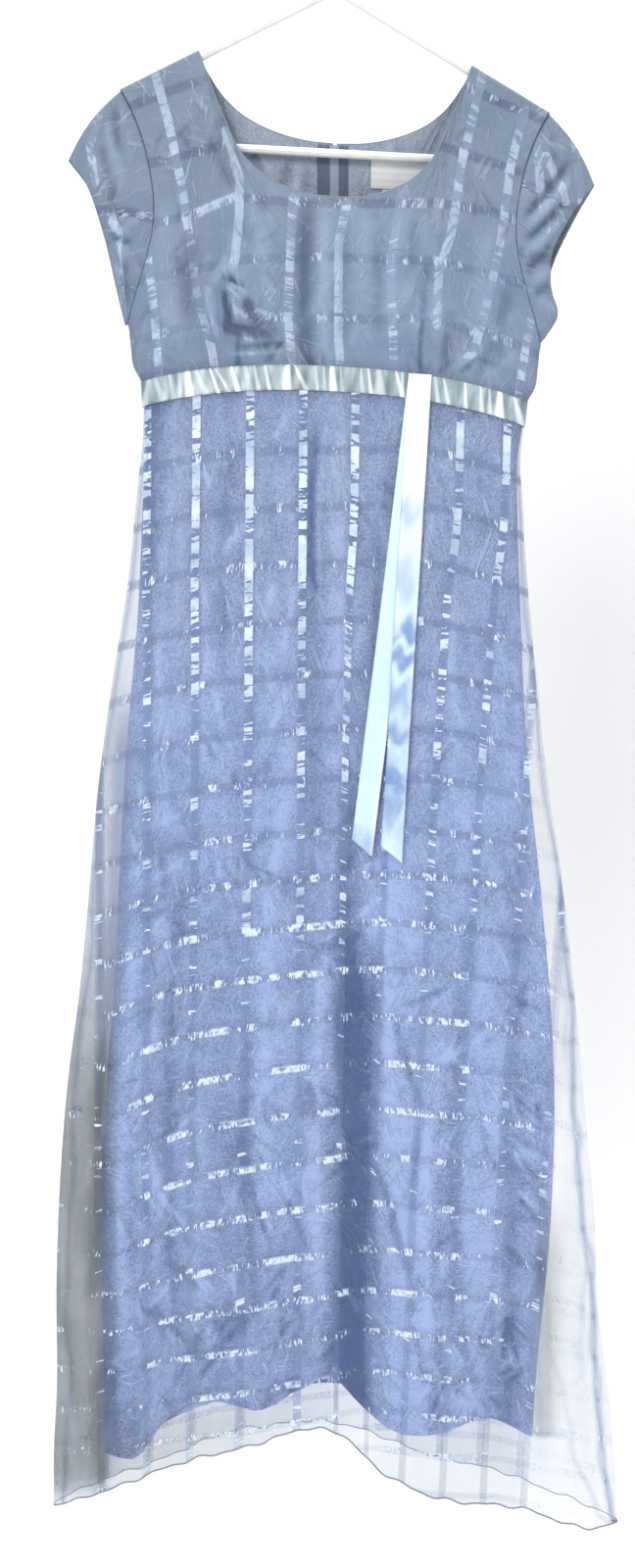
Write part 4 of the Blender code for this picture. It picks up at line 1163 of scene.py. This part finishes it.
def make_lining(name, side, sign, columns, rows, seed):
    points = skirt_grid(side, sign, LINING_SIDES, LINING_HEM, columns, rows, True)
    x, h = points[..., 0], points[..., 2]
    upper = crumples(seed, 130, (-200, 200, 320, 820), 46, 2.4, 0.85, 0.5)
    lower = crumples(seed + 1, 340, (-250, 240, 700, 1400), 52, 2.5, 1.35, 0.2)
    hemline = crumples(seed + 2, 110, (-250, 230, 1180, 1420), 50, 3.0, 1.7, 0.45)
    rise = creases(x, h, on_side(side, LONG_CREASES, 0.8, 30)) + creases(x, h, upper + lower + hemline)
    across = np.abs(x) / half_width(LINING_SIDES, x, h)
    rise = rise * ease((h - waist(x / WAIST_HALF)) / 60) * ease((1.0 - across) * 10)
    if sign:
        rise = rise * ease(np.abs(x) / 8)
    points = pushed(points, side, rise)
    # a painted shadow just under the ribbon
    under_ribbon = 0.34 * np.exp(-np.maximum(h - waist(x / 185) - 11, 0) / 9)
    calm = 0.0
    if side < 0:  # the deep fold shows fewer of its creases
        calm = 0.6 * np.exp(-(((x - 28) / 20) ** 4)) * ease((h - 760) / 200)
    # painted shading: paler on ridges, darker in troughs, under the ribbon and down the dark bands, and
    # paler down the light ones
    shading = 0.58 - 0.05 * ease((540 - h) / 140) + 0.24 * (1 - calm) * np.clip(rise, -1.5, 2.4) - under_ribbon
    shading = shading + 0.16 * folds(SKIRT_SHADING, x if side < 0 else -x, h, 160.0)
    shading = np.clip(shading, -0.1, 1)
    return grid_piece(name, points, lining_cloth, side, shine=stack(0.0, 0.0, shading))


for name, side, sign, columns, rows, seed, flat_width, area in LINING_PANELS:
    panel = make_lining(f"cloth_lining_{name}", side, sign, columns, rows, seed)
    settle(panel, "lining_cloth", f"lining_{name}")

# %% [markdown]
# ## Sheer overlay
# The overlay carries the bars. It is one thin layer, because sheer cloth that is doubled by a
# wall would look twice as dense. It hangs wider and longer than the underskirt, so its sides
# and hem show against the wall behind. Its upright bars lean to the left down the skirt. At the
# left, and beside the underskirt's right edge, shade is painted into it as grey.

# %% Overlay panels
UPRIGHT_X = (-224, -175, -128, -78, -29, 19, 68, 117, 162, 208, 253)
LEVEL_H = (
    336, 387, 439, 493, 544, 597, 646, 698, 745, 795, 845, 896,
    947, 999, 1052, 1106, 1160, 1209, 1258, 1308, 1356, 1404, 1452,
)
OVERLAY_CREASES = (
    (-5, 292, -7, 560, 2.6, 1.1), (-12, 292, -14, 520, 3, -0.7), (42, 300, 30, 700, 4, -0.7),
    (-172, 300, -190, 700, 6, 0.8), (150, 310, 168, 760, 6, 0.8), (-250, 860, -262, 1460, 9, -2.2),
    (-272, 940, -280, 1470, 8, 2.2), (246, 900, 262, 1460, 8, -2.4), (262, 980, 292, 1462, 7, 2.4),
    (230, 1150, 238, 1450, 8, 1.8), (-118, 900, -140, 1430, 9, 1.6), (110, 980, 118, 1460, 10, -1.6),
    (14, 980, -30, 1390, 7, 1.5), (60, 1180, 90, 1450, 6, -1.4),
)
BAR_DRIFT = table(  # how far the upright bars lean towards the left, measured down the skirt
    "h left right",
    (300, 0, 0), (410, 3, 2), (470, 5, 9), (540, 6, 12.5), (660, 9, 18), (740, 11, 20.5),
    (840, 14, 24), (930, 17, 27), (1020, 20, 30), (1120, 23, 33), (1450, 30, 40),
)
APEX_X, APEX_REACH = 60.0, 291.0  # where the level bars are highest, and from there to the left side
BAR_DROP = table(
    "h slope extra right",
    (300, 0.05, 30, 21), (600, 0.08, 28, 26), (800, 0.1, 28, 25), (1100, 0.1, 47, 20),
    (1308, 0.18, 6, 18), (1450, 0.18, 6, 22),
)


def skirt_bars(x, h):
    """Distances to the nearest upright and level bar, the shine of each, and the cloth's shading, painted
    into its colour.
    """
    left_lean, right_lean = (smooth(BAR_DRIFT, name, h) for name in ("left", "right"))
    rightness = ease((x + 50) / 130)
    straight = x + left_lean * np.clip(-x / 120, 0, 1) * (1 - rightness) + right_lean * rightness
    upright = np.min([np.abs(straight - place) for place in UPRIGHT_X], axis=0)
    slope, extra, right = (smooth(BAR_DROP, name, h) for name in ("slope", "extra", "right"))
    from_apex = np.clip(APEX_X - x, 0, APEX_REACH)
    past_apex = np.clip((x - APEX_X) / (half_width(SIDES, 1.0, h) - APEX_X), 0, 1)
    row = h - slope * from_apex - extra * (from_apex / APEX_REACH) ** 3.3 - right * past_apex**2.2
    level = np.min([np.abs(row - place) for place in LEVEL_H], axis=0)
    upper = ease((800 - h) / 200)
    middle = np.exp(-(((x + 22) / 180) ** 6))
    valley = np.exp(-(((x - 26) / 24) ** 4)) * ease((h - 700) / 200)
    upright_shine = 0.41 + 0.39 * ease((510 - h) / 110) - 0.3 * ease((-x - 150) / 20)
    upright_shine = upright_shine * upper - 0.3 * ease((h - 800) / 100)
    level_shine = 0.52 * ease((h - 640) / 260) * (0.1 + 0.9 * middle) * (1 - 0.8 * valley)
    # painted shading: a column between the bars at 117 and 162 is painted darker, and the cloth right of
    # 170 lighter
    column = ease((straight - 117) / 8) * ease((162 - straight) / 8) * ease((640 - h) / 70)
    outside = ease((straight - 170) / 10) * ease((h - 460) / 60) * ease((820 - h) / 90)
    return upright, level, upright_shine, level_shine, 0.08 * outside - 0.09 * column


SHEER_LINES = (
    # x h strength: where the right side's layers fold over each other and look bluer
    [(204, 560, 0.1), (225, 718, 0.6), (232, 769, 0.9), (238, 829, 0.9), (246, 902, 0.9),
     (250, 953, 0.9), (251, 995, 0.9), (256, 1047, 0.9), (263, 1099, 0.9), (272, 1152, 1),
     (278, 1192, 1), (287, 1307, 1), (296, 1383, 1), (305, 1441, 1), (312, 1475, 1)],
    [(230, 761, 0.4), (236, 813, 0.6), (233, 862, 0.6), (242, 919, 0.6), (249, 974, 0.5)],
    [(262, 1125, 0.3), (269, 1184, 0.5), (267, 1216, 0.6), (271, 1243, 0.4), (267, 1299, 0.3)],
    [(237, 1277, 0.1), (254, 1332, 0.4), (265, 1384, 0.5), (279, 1422, 0.6), (294, 1466, 0.6),
     (310, 1480, 0.7)],
    [(222, 1370, 0.7), (262, 1373, 0.4)],
)
OVERLAY_PANELS = (
    # name, side, sign, columns, rows, seed, flat width, area
    ("front", -1, 0, 200, 400, 61, 0.66, 0.62),
    ("back_left", 1, -1, 78, 290, 64, 0.34, 0.31),
    ("back_right", 1, 1, 78, 290, 66, 0.34, 0.31),
)


def make_overlay(name, side, sign, columns, rows, seed):
    points = skirt_grid(side, sign, SIDES, HEM, columns, rows)
    x, h = points[..., 0], points[..., 2]
    u = np.clip(x / half_width(SIDES, x, h), -1, 1)
    small = crumples(seed, 90, (-300, 300, 420, 1470), 60, 4.5, 0.7, 0.55)
    rise = creases(x, h, on_side(side, OVERLAY_CREASES, 0.85) + small)
    rise = rise * ease((h - waist(u)) / 70) * ease((1 - np.abs(u)) * 14)
    if sign:
        rise = rise * ease(np.abs(x) / 8)
    points = pushed(points, side, rise)
    upright, level, upright_shine, level_shine, panel_shading = skirt_bars(x, h)
    inner = np.abs(x) / half_width(LINING_SIDES, x, np.minimum(h, 1380))
    beside = ease((inner - 0.9) / 0.12) * ease((h - 520) / 120)  # where no underskirt lies behind
    over = 1 - beside
    # painted shade: at the left, below the underskirt's edge, the sheer is painted grey and denser, as
    # shade seen through it
    grey_and_shade = beside * ease(-x / 60) * ease((1500 - h) / 60) * (0.25 + 0.75 * ease((h - 740) / 320))
    edge = smooth(LINING_SIDES, "left", h) + 4
    # painted shade: beside the underskirt's edge the layers are denser and painted darker
    rim = np.exp(-(((x + edge) / 9) ** 2)) * ease((h - 560) / 80) * (1 - 0.68 * ease((h - 800) / 250))
    valley = np.exp(-(((x - 27) / 20) ** 4)) * ease((h - 700) / 200) * over
    hem_zone = ease((h - 1350) / 60) * over
    low = hem_zone * (0.45 + 0.55 * ease((60 - x) / 120))
    thin = 0.25 + 0.34 * grey_and_shade + 0.1 * low - 0.15 * beside * ease(x / 60) - 0.04 * hem_zone * (1 - grey_and_shade)
    thin = thin + 0.05 * np.clip(rise, -2, 2) * ease((h - 500) / 400) + 0.34 * rim - 0.08 * valley
    shading = shading_of(rise, 0.12, 0.55) - 0.12 * rim
    if side < 0:
        away, strength = nearest(x + 2.6 * np.sin(h / 24) + 1.6 * np.sin(h / 11), h, SHEER_LINES)
        line = strength * np.exp(-((away / 3.6) ** 2))
        # a painted shadow right of the underskirt's right edge: grey and denser
        shadow = ease((x - 214) / 10) * ease((258 - x) / 26) * ease((h - 1070) / 90) * ease((1376 - h) / 8)
        thin = thin + 0.44 * line + 0.42 * shadow
        shading = shading + panel_shading - 0.07 * line
        grey_and_shade = np.maximum(grey_and_shade, 0.9 * shadow)
    # the hem zone goes greyer, more to the left
    grey_and_shade = np.maximum(grey_and_shade, 0.7 * low)
    level_weight = (1 - 0.5 * ease((h - 700) / 300)) * (1 - 0.85 * beside)
    return grid_piece(
        name, points, sheer_organza, side,
        bars=stack(upright, level, FAR),
        shine=stack(upright_shine, level_shine, shading),
        sheer=stack(thin, grey_and_shade, level_weight),
    )


overlay = {}
for name, side, sign, columns, rows, seed, _, _ in OVERLAY_PANELS:
    overlay[name] = make_overlay(f"cloth_skirt_{name}", side, sign, columns, rows, seed)
    settle(overlay[name], "sheer_cloth", f"skirt_{name}")

# %% [markdown]
# ## Rolled hem and side seams
# The overlay's hem is rolled and overlocked to a cord about 2 mm thick, and its side seams are
# narrow doubled strips that look bluer than the single layer, the left one painted greyer further
# down, as shade. The hem follows a path, so it is grown by Geometry Nodes: a round profile swept
# along a line of points.

# %% Geometry Nodes that follow a path
def new_tree(name, inputs, *steps):
    """A geometry tree with these inputs, whose steps follow one another from the path."""
    tree = bpy.data.node_groups.new(name, "GeometryNodeTree")
    tree.interface.new_socket("Path", in_out="INPUT", socket_type="NodeSocketGeometry")
    for label, kind in inputs.items():
        tree.interface.new_socket(label, in_out="INPUT", socket_type="NodeSocket" + kind)
    tree.interface.new_socket("Result", in_out="OUTPUT", socket_type="NodeSocketGeometry")
    kinds = ["NodeGroupInput", *("GeometryNode" + step for step in steps), "NodeGroupOutput"]
    made = [tree.nodes.new(kind) for kind in kinds]
    for one, other in zip(made[:-1], made[1:]):
        tree.links.new(one.outputs[0], other.inputs[0])
    return tree, made


def link(tree, *rows):
    """Links named sockets. A row is: from node, its output, to node, its input."""
    for giver, output, taker, entry in rows:
        tree.links.new(giver.outputs[output], taker.inputs[entry])


def cord_tree():
    """Sweeps a round profile along the path."""
    tree, (start, _, sweep, _, dye, _) = new_tree(
        "rolled_cord", {"Radius": "Float", "Sides": "Int", "Material": "Material"},
        "MeshToCurve", "CurveToMesh", "RealizeInstances", "SetMaterial",
    )
    profile = tree.nodes.new("GeometryNodeCurvePrimitiveCircle")
    sweep.inputs["Fill Caps"].default_value = True
    link(
        tree, (start, "Radius", profile, "Radius"), (start, "Sides", profile, "Resolution"),
        (profile, "Curve", sweep, "Profile Curve"), (start, "Material", dye, "Material"),
    )
    return tree


def stitch_tree():
    """Sets a small rounded block along the path at an even pitch, turned to follow it."""
    tree, (start, _, even, place, _, dye, _) = new_tree(
        "row_of_stitches", {"Pitch": "Float", "Size": "Vector", "Material": "Material"},
        "MeshToCurve", "ResampleCurve", "InstanceOnPoints", "RealizeInstances", "SetMaterial",
    )
    even.mode = "LENGTH"
    ball = tree.nodes.new("GeometryNodeMeshUVSphere")
    for entry, value in (("Segments", 8), ("Rings", 5), ("Radius", 0.5)):
        ball.inputs[entry].default_value = value
    tangent = tree.nodes.new("GeometryNodeInputTangent")
    turn = tree.nodes.new("FunctionNodeAlignRotationToVector")
    turn.axis = "X"
    link(
        tree, (start, "Pitch", even, "Length"), (ball, "Mesh", place, "Instance"),
        (tangent, "Tangent", turn, "Vector"), (turn, "Rotation", place, "Rotation"),
        (start, "Size", place, "Scale"), (start, "Material", dye, "Material"),
    )
    return tree


def grow(name, path, tree, **values):
    """Runs a tree on a line through these points (x, y, h) and keeps the plain mesh."""
    line = bpy.data.meshes.new(name + "_path")
    line.from_pydata(hang(path).tolist(), [(i, i + 1) for i in range(len(path) - 1)], [])
    piece = bpy.data.objects.new(name, line)
    scene.collection.objects.link(piece)
    modifier = piece.modifiers.new("grow", "NODES")
    modifier.node_group = tree
    for item in tree.interface.items_tree:
        if item.in_out == "INPUT" and item.name in values:
            modifier[item.identifier] = values[item.name]
    graph = bpy.context.evaluated_depsgraph_get()
    graph.update()
    grown = bpy.data.meshes.new_from_object(piece.evaluated_get(graph))
    piece.modifiers.remove(modifier)
    piece.data = grown
    grown.name = name
    grown.shade_smooth()
    add_place_uv(grown)
    return piece


def add_place_uv(mesh):
    """A simple UV map in metres for small pieces, from x and z."""
    layer = mesh.uv_layers.get("cloth") or mesh.uv_layers.new(name="cloth")
    places = np.zeros(len(mesh.vertices) * 3, np.float32)
    mesh.vertices.foreach_get("co", places)
    corner = np.zeros(len(mesh.loops), np.int32)
    mesh.loops.foreach_get("vertex_index", corner)
    layer.data.foreach_set("uv", places.reshape(-1, 3)[corner][:, [0, 2]].ravel())


rolled_cord = cord_tree()
row_of_stitches = stitch_tree()
print("trees:", rolled_cord.name, row_of_stitches.name)

# %% Hem cord and side seams
HEM_CORD, BACK_HEM_CORD = 0.8, 0.5  # radius
STRIP_HALF, STRIP_INSIDE = 4.2, 0.9  # half the width of a side seam's strip, and how far inside it lies


def make_hem(name, side, sign):
    """A cord along the bottom edge of an overlay panel."""
    edge = skirt_grid(side, sign, SIDES, HEM, 240, 24)[-1]
    radius = HEM_CORD if side < 0 else BACK_HEM_CORD
    return grow(f"hem_cord_{name}", edge, rolled_cord, Radius=radius * MM, Sides=8, Material=hem_thread)


def make_side_seam(name, sign):
    """A narrow doubled strip just inside the overlay's side, a little uneven."""
    h = np.linspace(312, 1476 if sign > 0 else 1482, 200)
    wobble = 2.0 * np.sin(h / 41) + 1.3 * np.sin(h / 19 + 1)
    middle = sign * (half_width(SIDES, sign, h) - 4 - 9 * ease((h - 700) / 500))
    middle = middle + wobble * ease((h - 500) / 400)
    if sign > 0:
        line_x, line_h, _ = np.array(SHEER_LINES[0]).T
        outer = np.minimum(half_width(SIDES, 1, h) - 4, np.interp(h, line_h, line_x))
        middle = middle + ease((h - 560) / 150) * (outer - middle)
        middle = middle + 1.6 * np.sin(h / 27) * ease((1440 - h) / 60)
    offset = np.linspace(-STRIP_HALF, STRIP_HALF, 7)
    x = middle[:, None] + offset
    down = np.broadcast_to(h[:, None], x.shape)
    points = pushed(on_form(-1, x, down), -1, -STRIP_INSIDE)
    core = np.broadcast_to(np.exp(-((offset / 1.6) ** 2)), x.shape)
    # painted shade: the left seam goes grey further down
    grey_and_shade = 0.85 * ease((down - 740) / 320) if sign < 0 else 0.0
    return grid_piece(
        name, points, sheer_organza, -1,
        bars=stack(FAR, FAR + 0 * x, FAR),
        shine=stack(0.0, 0.0, 0.5 - 0.08 * core),
        sheer=stack(0.16 + 0.42 * core, grey_and_shade, 1.0),
    )


hem_cords = {
    name: settle(make_hem(name, side, sign), "sheer_cloth") for name, side, sign, *_ in OVERLAY_PANELS
}
# the knot that ends the hem's thread, at its right corner
knot_y = float(depth(-1, np.array(315.0), np.array(1474.0)))
hem_knot = grow(
    "hem_knot", np.array([(313.0, knot_y, 1475.0), (316.0, knot_y, 1475.0)]), row_of_stitches,
    Pitch=1.6 * MM, Size=(4.4 * MM, 3.0 * MM, 3.2 * MM), Material=hem_thread,
)
settle(hem_knot, "sheer_cloth")
for name, sign in (("left", -1), ("right", 1)):
    seam = settle(make_side_seam(f"side_seam_{name}", sign), "sheer_cloth")

# %% [markdown]
# ## Ribbon and its tails
# A 22 mm satin ribbon is sewn over the waist seam, and two loose ends hang to the right of the
# middle. The ribbon puckers between its stitches, and each pucker throws a white streak across
# it, so the streaks have places of their own in a table. The streaks are painted highlights, and
# the hollows between them painted shade. The tails hang nearly flat.

# %% Ribbon round the waist
RIBBON_STREAKS = (
    # painted highlights across the ribbon, one for each pucker
    # x at the top edge, x at the bottom edge, width, strength
    (-186, -181, 2.6, 1), (-173, -178, 3, 0.4), (-167, -159, 3.2, 0.35), (-153, -149, 2, 0.35),
    (-144, -143, 2.4, 0.3), (-136, -134, 3.4, 1.1), (-128, -119, 3, 0.4), (-115, -107, 1.5, 0.8),
    (-110, -97, 2, 0.4), (-95, -89, 2, 1), (-83, -78, 3.4, 0.3), (-74, -70, 2, 0.4),
    (-64, -60, 1.6, 0.6), (-43, -44.5, 3.2, 1.1), (-37, -26, 2.4, 0.5), (-17.5, -16, 1.4, 0.5),
    (-10.5, -9, 1.6, 0.35), (-2.7, -1.3, 2.9, 1.1), (5, 6.5, 1.8, 0.35), (24, 25.5, 1.6, 0.4),
    (30.5, 33.4, 1.6, 0.6), (40, 42, 4.4, 0.5), (56, 62.3, 1.8, 0.7), (62, 61.5, 1.4, 0.6),
    (92, 95, 2, 0.5), (100, 105, 1.8, 0.6), (120, 121, 1.8, 0.7), (134.6, 136, 2.2, 0.6),
    (143, 143.8, 2, 0.5), (153, 153, 3.8, 1.1), (167, 175, 3.6, 0.7),
)
BACK_STREAKS = tuple(
    (9 - 0.97 * top, 9 - 0.97 * bottom, width, 0.8 * strength)
    for top, bottom, width, strength in RIBBON_STREAKS
)
RIBBONS = (
    # name, side, sign, columns, flat width
    ("front", -1, 0, 420, 0.38),
    ("back_left", 1, -1, 210, 0.19),
    ("back_right", 1, 1, 210, 0.19),
)


def make_ribbon(name, side, sign, columns):
    u = across_panel(sign, columns)
    share = np.linspace(-0.5, 0.5, 13)[:, None]
    h = waist(u) + share * RIBBON_WIDTH
    x = u * half_width(SIDES, u, h)
    if sign:
        x = x + sign * ZIP_EDGE * (1 - np.abs(u))
    points = on_form(side, x, h)
    streak, pucker = np.zeros(x.shape), np.zeros(x.shape)
    for top, bottom, width, strength in RIBBON_STREAKS if side < 0 else BACK_STREAKS:
        across = (x - top - (share + 0.5) * (bottom - top)) / (width * (0.55 + 0.75 * (share + 0.5)))
        streak = streak + strength * np.exp(-np.abs(across) ** 3)
        pucker = pucker + 0.45 * strength * np.exp(-((across / 1.6) ** 2))
    pucker = pucker * ease((0.5 - np.abs(share)) * 5) + 0.12 * np.sin(x * 0.55 + 2 * share)
    lift = WALL / 2 + SEAM + 0.2 + pucker
    points = pushed(points, side, lift)
    # painted shade in the hollows between the streaks, and the streaks as painted highlights
    hollow = 0.5 + 0.4 * np.sin(x * 0.41 + 2.6 * share) + 0.35 * np.sin(x * 0.17 - 1.5 * share + 1)
    lustre = stack(np.clip(1.15 * streak - 0.1, 0, 1), np.clip(hollow - streak, 0, 1), 0.0)
    return grid_piece(name, points, waist_satin, side, waist_satin, 0.35, lustre=lustre)


for name, side, sign, columns, flat_width in RIBBONS:
    ribbon = settle(make_ribbon(f"satin_ribbon_{name}", side, sign, columns), "satin", f"ribbon_{name}")

# %% Hanging tails
TAIL_TOP_X, TAIL_WIDTH, TAIL_CUT = 78.0, 21.0, 16.0
TAIL_TOP_H = WAIST_H - RIBBON_WIDTH / 2 + 3
TAILS = (("behind", 28.5, 720.0, 1), ("front", 57.5, 724.0, 2))
# where the front tail goes darker, band by band down its length
TAIL_DARK_BANDS = table(
    "t depth",
    (0, 0), (0.22, 0), (0.255, 0.55), (0.28, 0.75), (0.31, 0.35), (0.38, 0.55), (0.44, 0.6),
    (0.48, 0.35), (0.505, 0.95), (0.53, 1), (0.548, 0.2), (0.56, 0.95), (0.585, 1), (0.6, 0.25),
    (0.64, 0.8), (0.67, 0.7), (0.7, 0.35), (0.74, 0.9), (0.77, 0.5), (0.8, 0.9), (0.84, 1),
    (0.88, 0.9), (0.92, 0.8), (0.95, 0.5), (1, 0.2),
)


def make_tail(name, bottom_x, bottom_h, layer):
    t = np.linspace(0, 1, 220)[:, None]
    share = np.linspace(-0.5, 0.5, 11)
    x = TAIL_TOP_X + t * (bottom_x - TAIL_TOP_X) + share * TAIL_WIDTH
    h = TAIL_TOP_H + t * (bottom_h - TAIL_TOP_H) + t**8 * share * TAIL_CUT
    points = on_form(-1, x, h)
    free = ease(t * 3)
    wave = 0.7 * np.sin(t * 9 + layer) * free + 0.5 * np.sin(t * 23 + share * 3 + layer) * free
    curl = 1.1 * (2 * np.abs(share)) ** 3 * np.sin(t * 6 + layer * 2) * free
    lift = WALL / 2 + SEAM + (layer + 0.5) * RIBBON_WALL + layer * SEAM
    points = pushed(points, -1, lift + wave * 0.4 + curl * 0.6)
    # streak: painted highlights at the tails' tops and along one edge; hollow: darker bands and a darker
    # end
    edge = np.exp(-(((share - 0.42) / 0.07) ** 2)) * 0.4
    if layer == 1:
        streak = 0.55 * ease((0.12 - t) * 9) + 0.2 * ease((0.6 - t) * 2) + edge
        hollow = 0.1 + 0.6 * ease((t - 0.94) * 25) + 0 * share
    else:
        hollow = smooth(TAIL_DARK_BANDS, "depth", t + 0.012 * np.sin(7 * share + 40 * t))
        streak = 0.9 * (1 - 0.85 * ease((t - 0.26) * 3)) * (1 - hollow) + 0.6 * edge * (1 - 0.6 * t)
    return grid_piece(
        f"satin_tail_{name}", points, tail_satin, -1, tail_satin, 0.35,
        lustre=stack(np.clip(streak, 0, 1), np.clip(hollow, 0, 1), 0.0),
    )


for name, *sizes in TAILS:
    tail = settle(make_tail(name, *sizes), "satin", f"ribbon_tail_{name}")

# %% [markdown]
# ## Zip
# The centre-back zip has two woven tapes and a nylon coil. The tapes are a strip of cloth, and
# the coil is one small tooth repeated at an even pitch, which is what Geometry Nodes do well.
# The slider and its pull tab keep the fixed model's shapes, with a worn metal finish.

# %% Zip tape, coil and slider
TAPE_EDGES = (-16.0, 12.0)
TOOTH = (0.9, 2.1, 0.7)
TOOTH_PITCH = 1.25
TEETH_TOP_H = 84.0
TAPE_GAP = 0.9  # between the cloth's inside and the tapes


def under_back(h):
    """How far inside the back panels the zip lies, past the underskirt where there is one."""
    layers = np.maximum(smooth(CLEARANCE, "inside", h), LINING_SEAM)
    return np.where(h < 260, 0, layers * ease((h - 252) / 20)) + WALL / 2 + TAPE_GAP


def make_tape():
    h = np.linspace(ZIP_TOP_H, ZIP_END_H, 160)
    x = np.linspace(*TAPE_EDGES, 25)
    across, down = np.meshgrid(x, h)
    rib = 0.25 * np.cos(across * 2 * math.pi / 7.0)
    points = pushed(on_form(1, across, down), 1, -(under_back(down) + rib))
    return grid_piece("zip_tape_cloth", points, tape_cloth, 1, tape_cloth, 0.5)


def make_teeth():
    h = np.linspace(TEETH_TOP_H, ZIP_END_H - 4, 260)
    x = np.zeros(h.shape)
    y = depth(1, x, h) - (under_back(h) - 1.0)
    return grow(
        "zip_teeth", np.stack([x, y, h], axis=-1), row_of_stitches,
        Pitch=TOOTH_PITCH * MM, Size=tuple(side * MM for side in TOOTH), Material=coil_nylon,
    )


zip_tape = settle(make_tape(), "zip_tape", "zip_tape")
zip_teeth = settle(make_teeth(), "zip_chain")


def dress_node(node, material, slot):
    """A CAD node keeps its shape and gets a finished material."""
    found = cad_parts[node]
    found.data.materials.clear()
    found.data.materials.append(material)


for node, material, slot in (
    ("zip_chain", coil_nylon, "zip_chain"), ("zip_slider", zip_metal, "zip_metal"),
    ("zip_pull", zip_metal, "zip_metal"), ("hanger", hanger_plastic, "hanger_plastic"),
):
    dress_node(node, material, slot)
print("teeth:", len(zip_teeth.data.polygons) // 40)

# %% [markdown]
# ## Labels
# A woven label is sewn inside the back neck, with a small one under it. Both are left blank.
# They are pale strips whose lower corners lift a little, held by a row of stitches along the
# top edge.

# %% Labels and their stitches
NECK_LABEL = (33.0, 92.0, 75.0, 103.0)
CARE_LABEL = (44.0, 66.0, 103.5, 117.0)


def make_label(name, left, right, top, bottom):
    across, down = np.meshgrid(np.linspace(left, right, 40), np.linspace(top, bottom, 22))
    points = on_form(1, across, down)
    s = (across - left) / (right - left)
    t = (down - top) / (bottom - top)
    lift = 0.9 + 0.5 * t * np.abs(2 * s - 1) ** 3 + 0.15 * np.sin(s * 9 + t * 2)
    points = pushed(points, 1, -(WALL / 2 + lift))
    return grid_piece(f"label_{name}", points, label_cloth, 1, label_cloth, 0.3)


def label_stitches(name, left, right, top, bottom):
    x = np.linspace(left + 1.2, right - 1.2, 60)
    h = np.full(x.shape, top + 1.4)
    y = depth(1, x, h) - (WALL / 2 + 1.15)
    return grow(
        f"stitches_{name}", np.stack([x, y, h], axis=-1), row_of_stitches,
        Pitch=2.4 * MM, Size=(1.7 * MM, 0.45 * MM, 0.45 * MM), Material=label_thread,
    )


for name, sizes in (("neck", NECK_LABEL), ("care", CARE_LABEL)):
    label = settle(make_label(name, *sizes), "label", f"{name}_label")
    stitches = settle(label_stitches(name, *sizes), "label")

# %% [markdown]
# ## Neck edge
# The neckline is faced and turned, which leaves a soft rounded lip. It is grown as a thin cord
# along the bodice's top edge, from shoulder to shoulder.

# %% Neck cord
NECK_CORD = 0.62  # radius


def neck_path(side, sign):
    points, _ = bodice_grid(side, sign, 400, 40)
    on_neck = np.abs(points[0, :, 0]) < NECK_X - 1.0
    return points[0][on_neck]


for name, side, sign, *_ in BODICE_PANELS:
    path = neck_path(side, sign)
    cord = grow(f"neck_cord_{name}", path, rolled_cord, Radius=NECK_CORD * MM, Sides=8, Material=seam_cloth)
    settle(cord, "bodice_cloth")

# %% [markdown]
# ## Finish
# The dressed model's size is compared with the fixed model's, and how far each corner moved is printed.

# %% Sizes
shown_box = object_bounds()
sizes = {"cad": [list(corner) for corner in cad_box], "visual": [list(corner) for corner in shown_box]}
for label, cad, shown in zip(("low", "high"), cad_box, shown_box):
    print(label, "corner moved by (mm):", [round((b - a) * 1000, 1) for a, b in zip(cad, shown)])
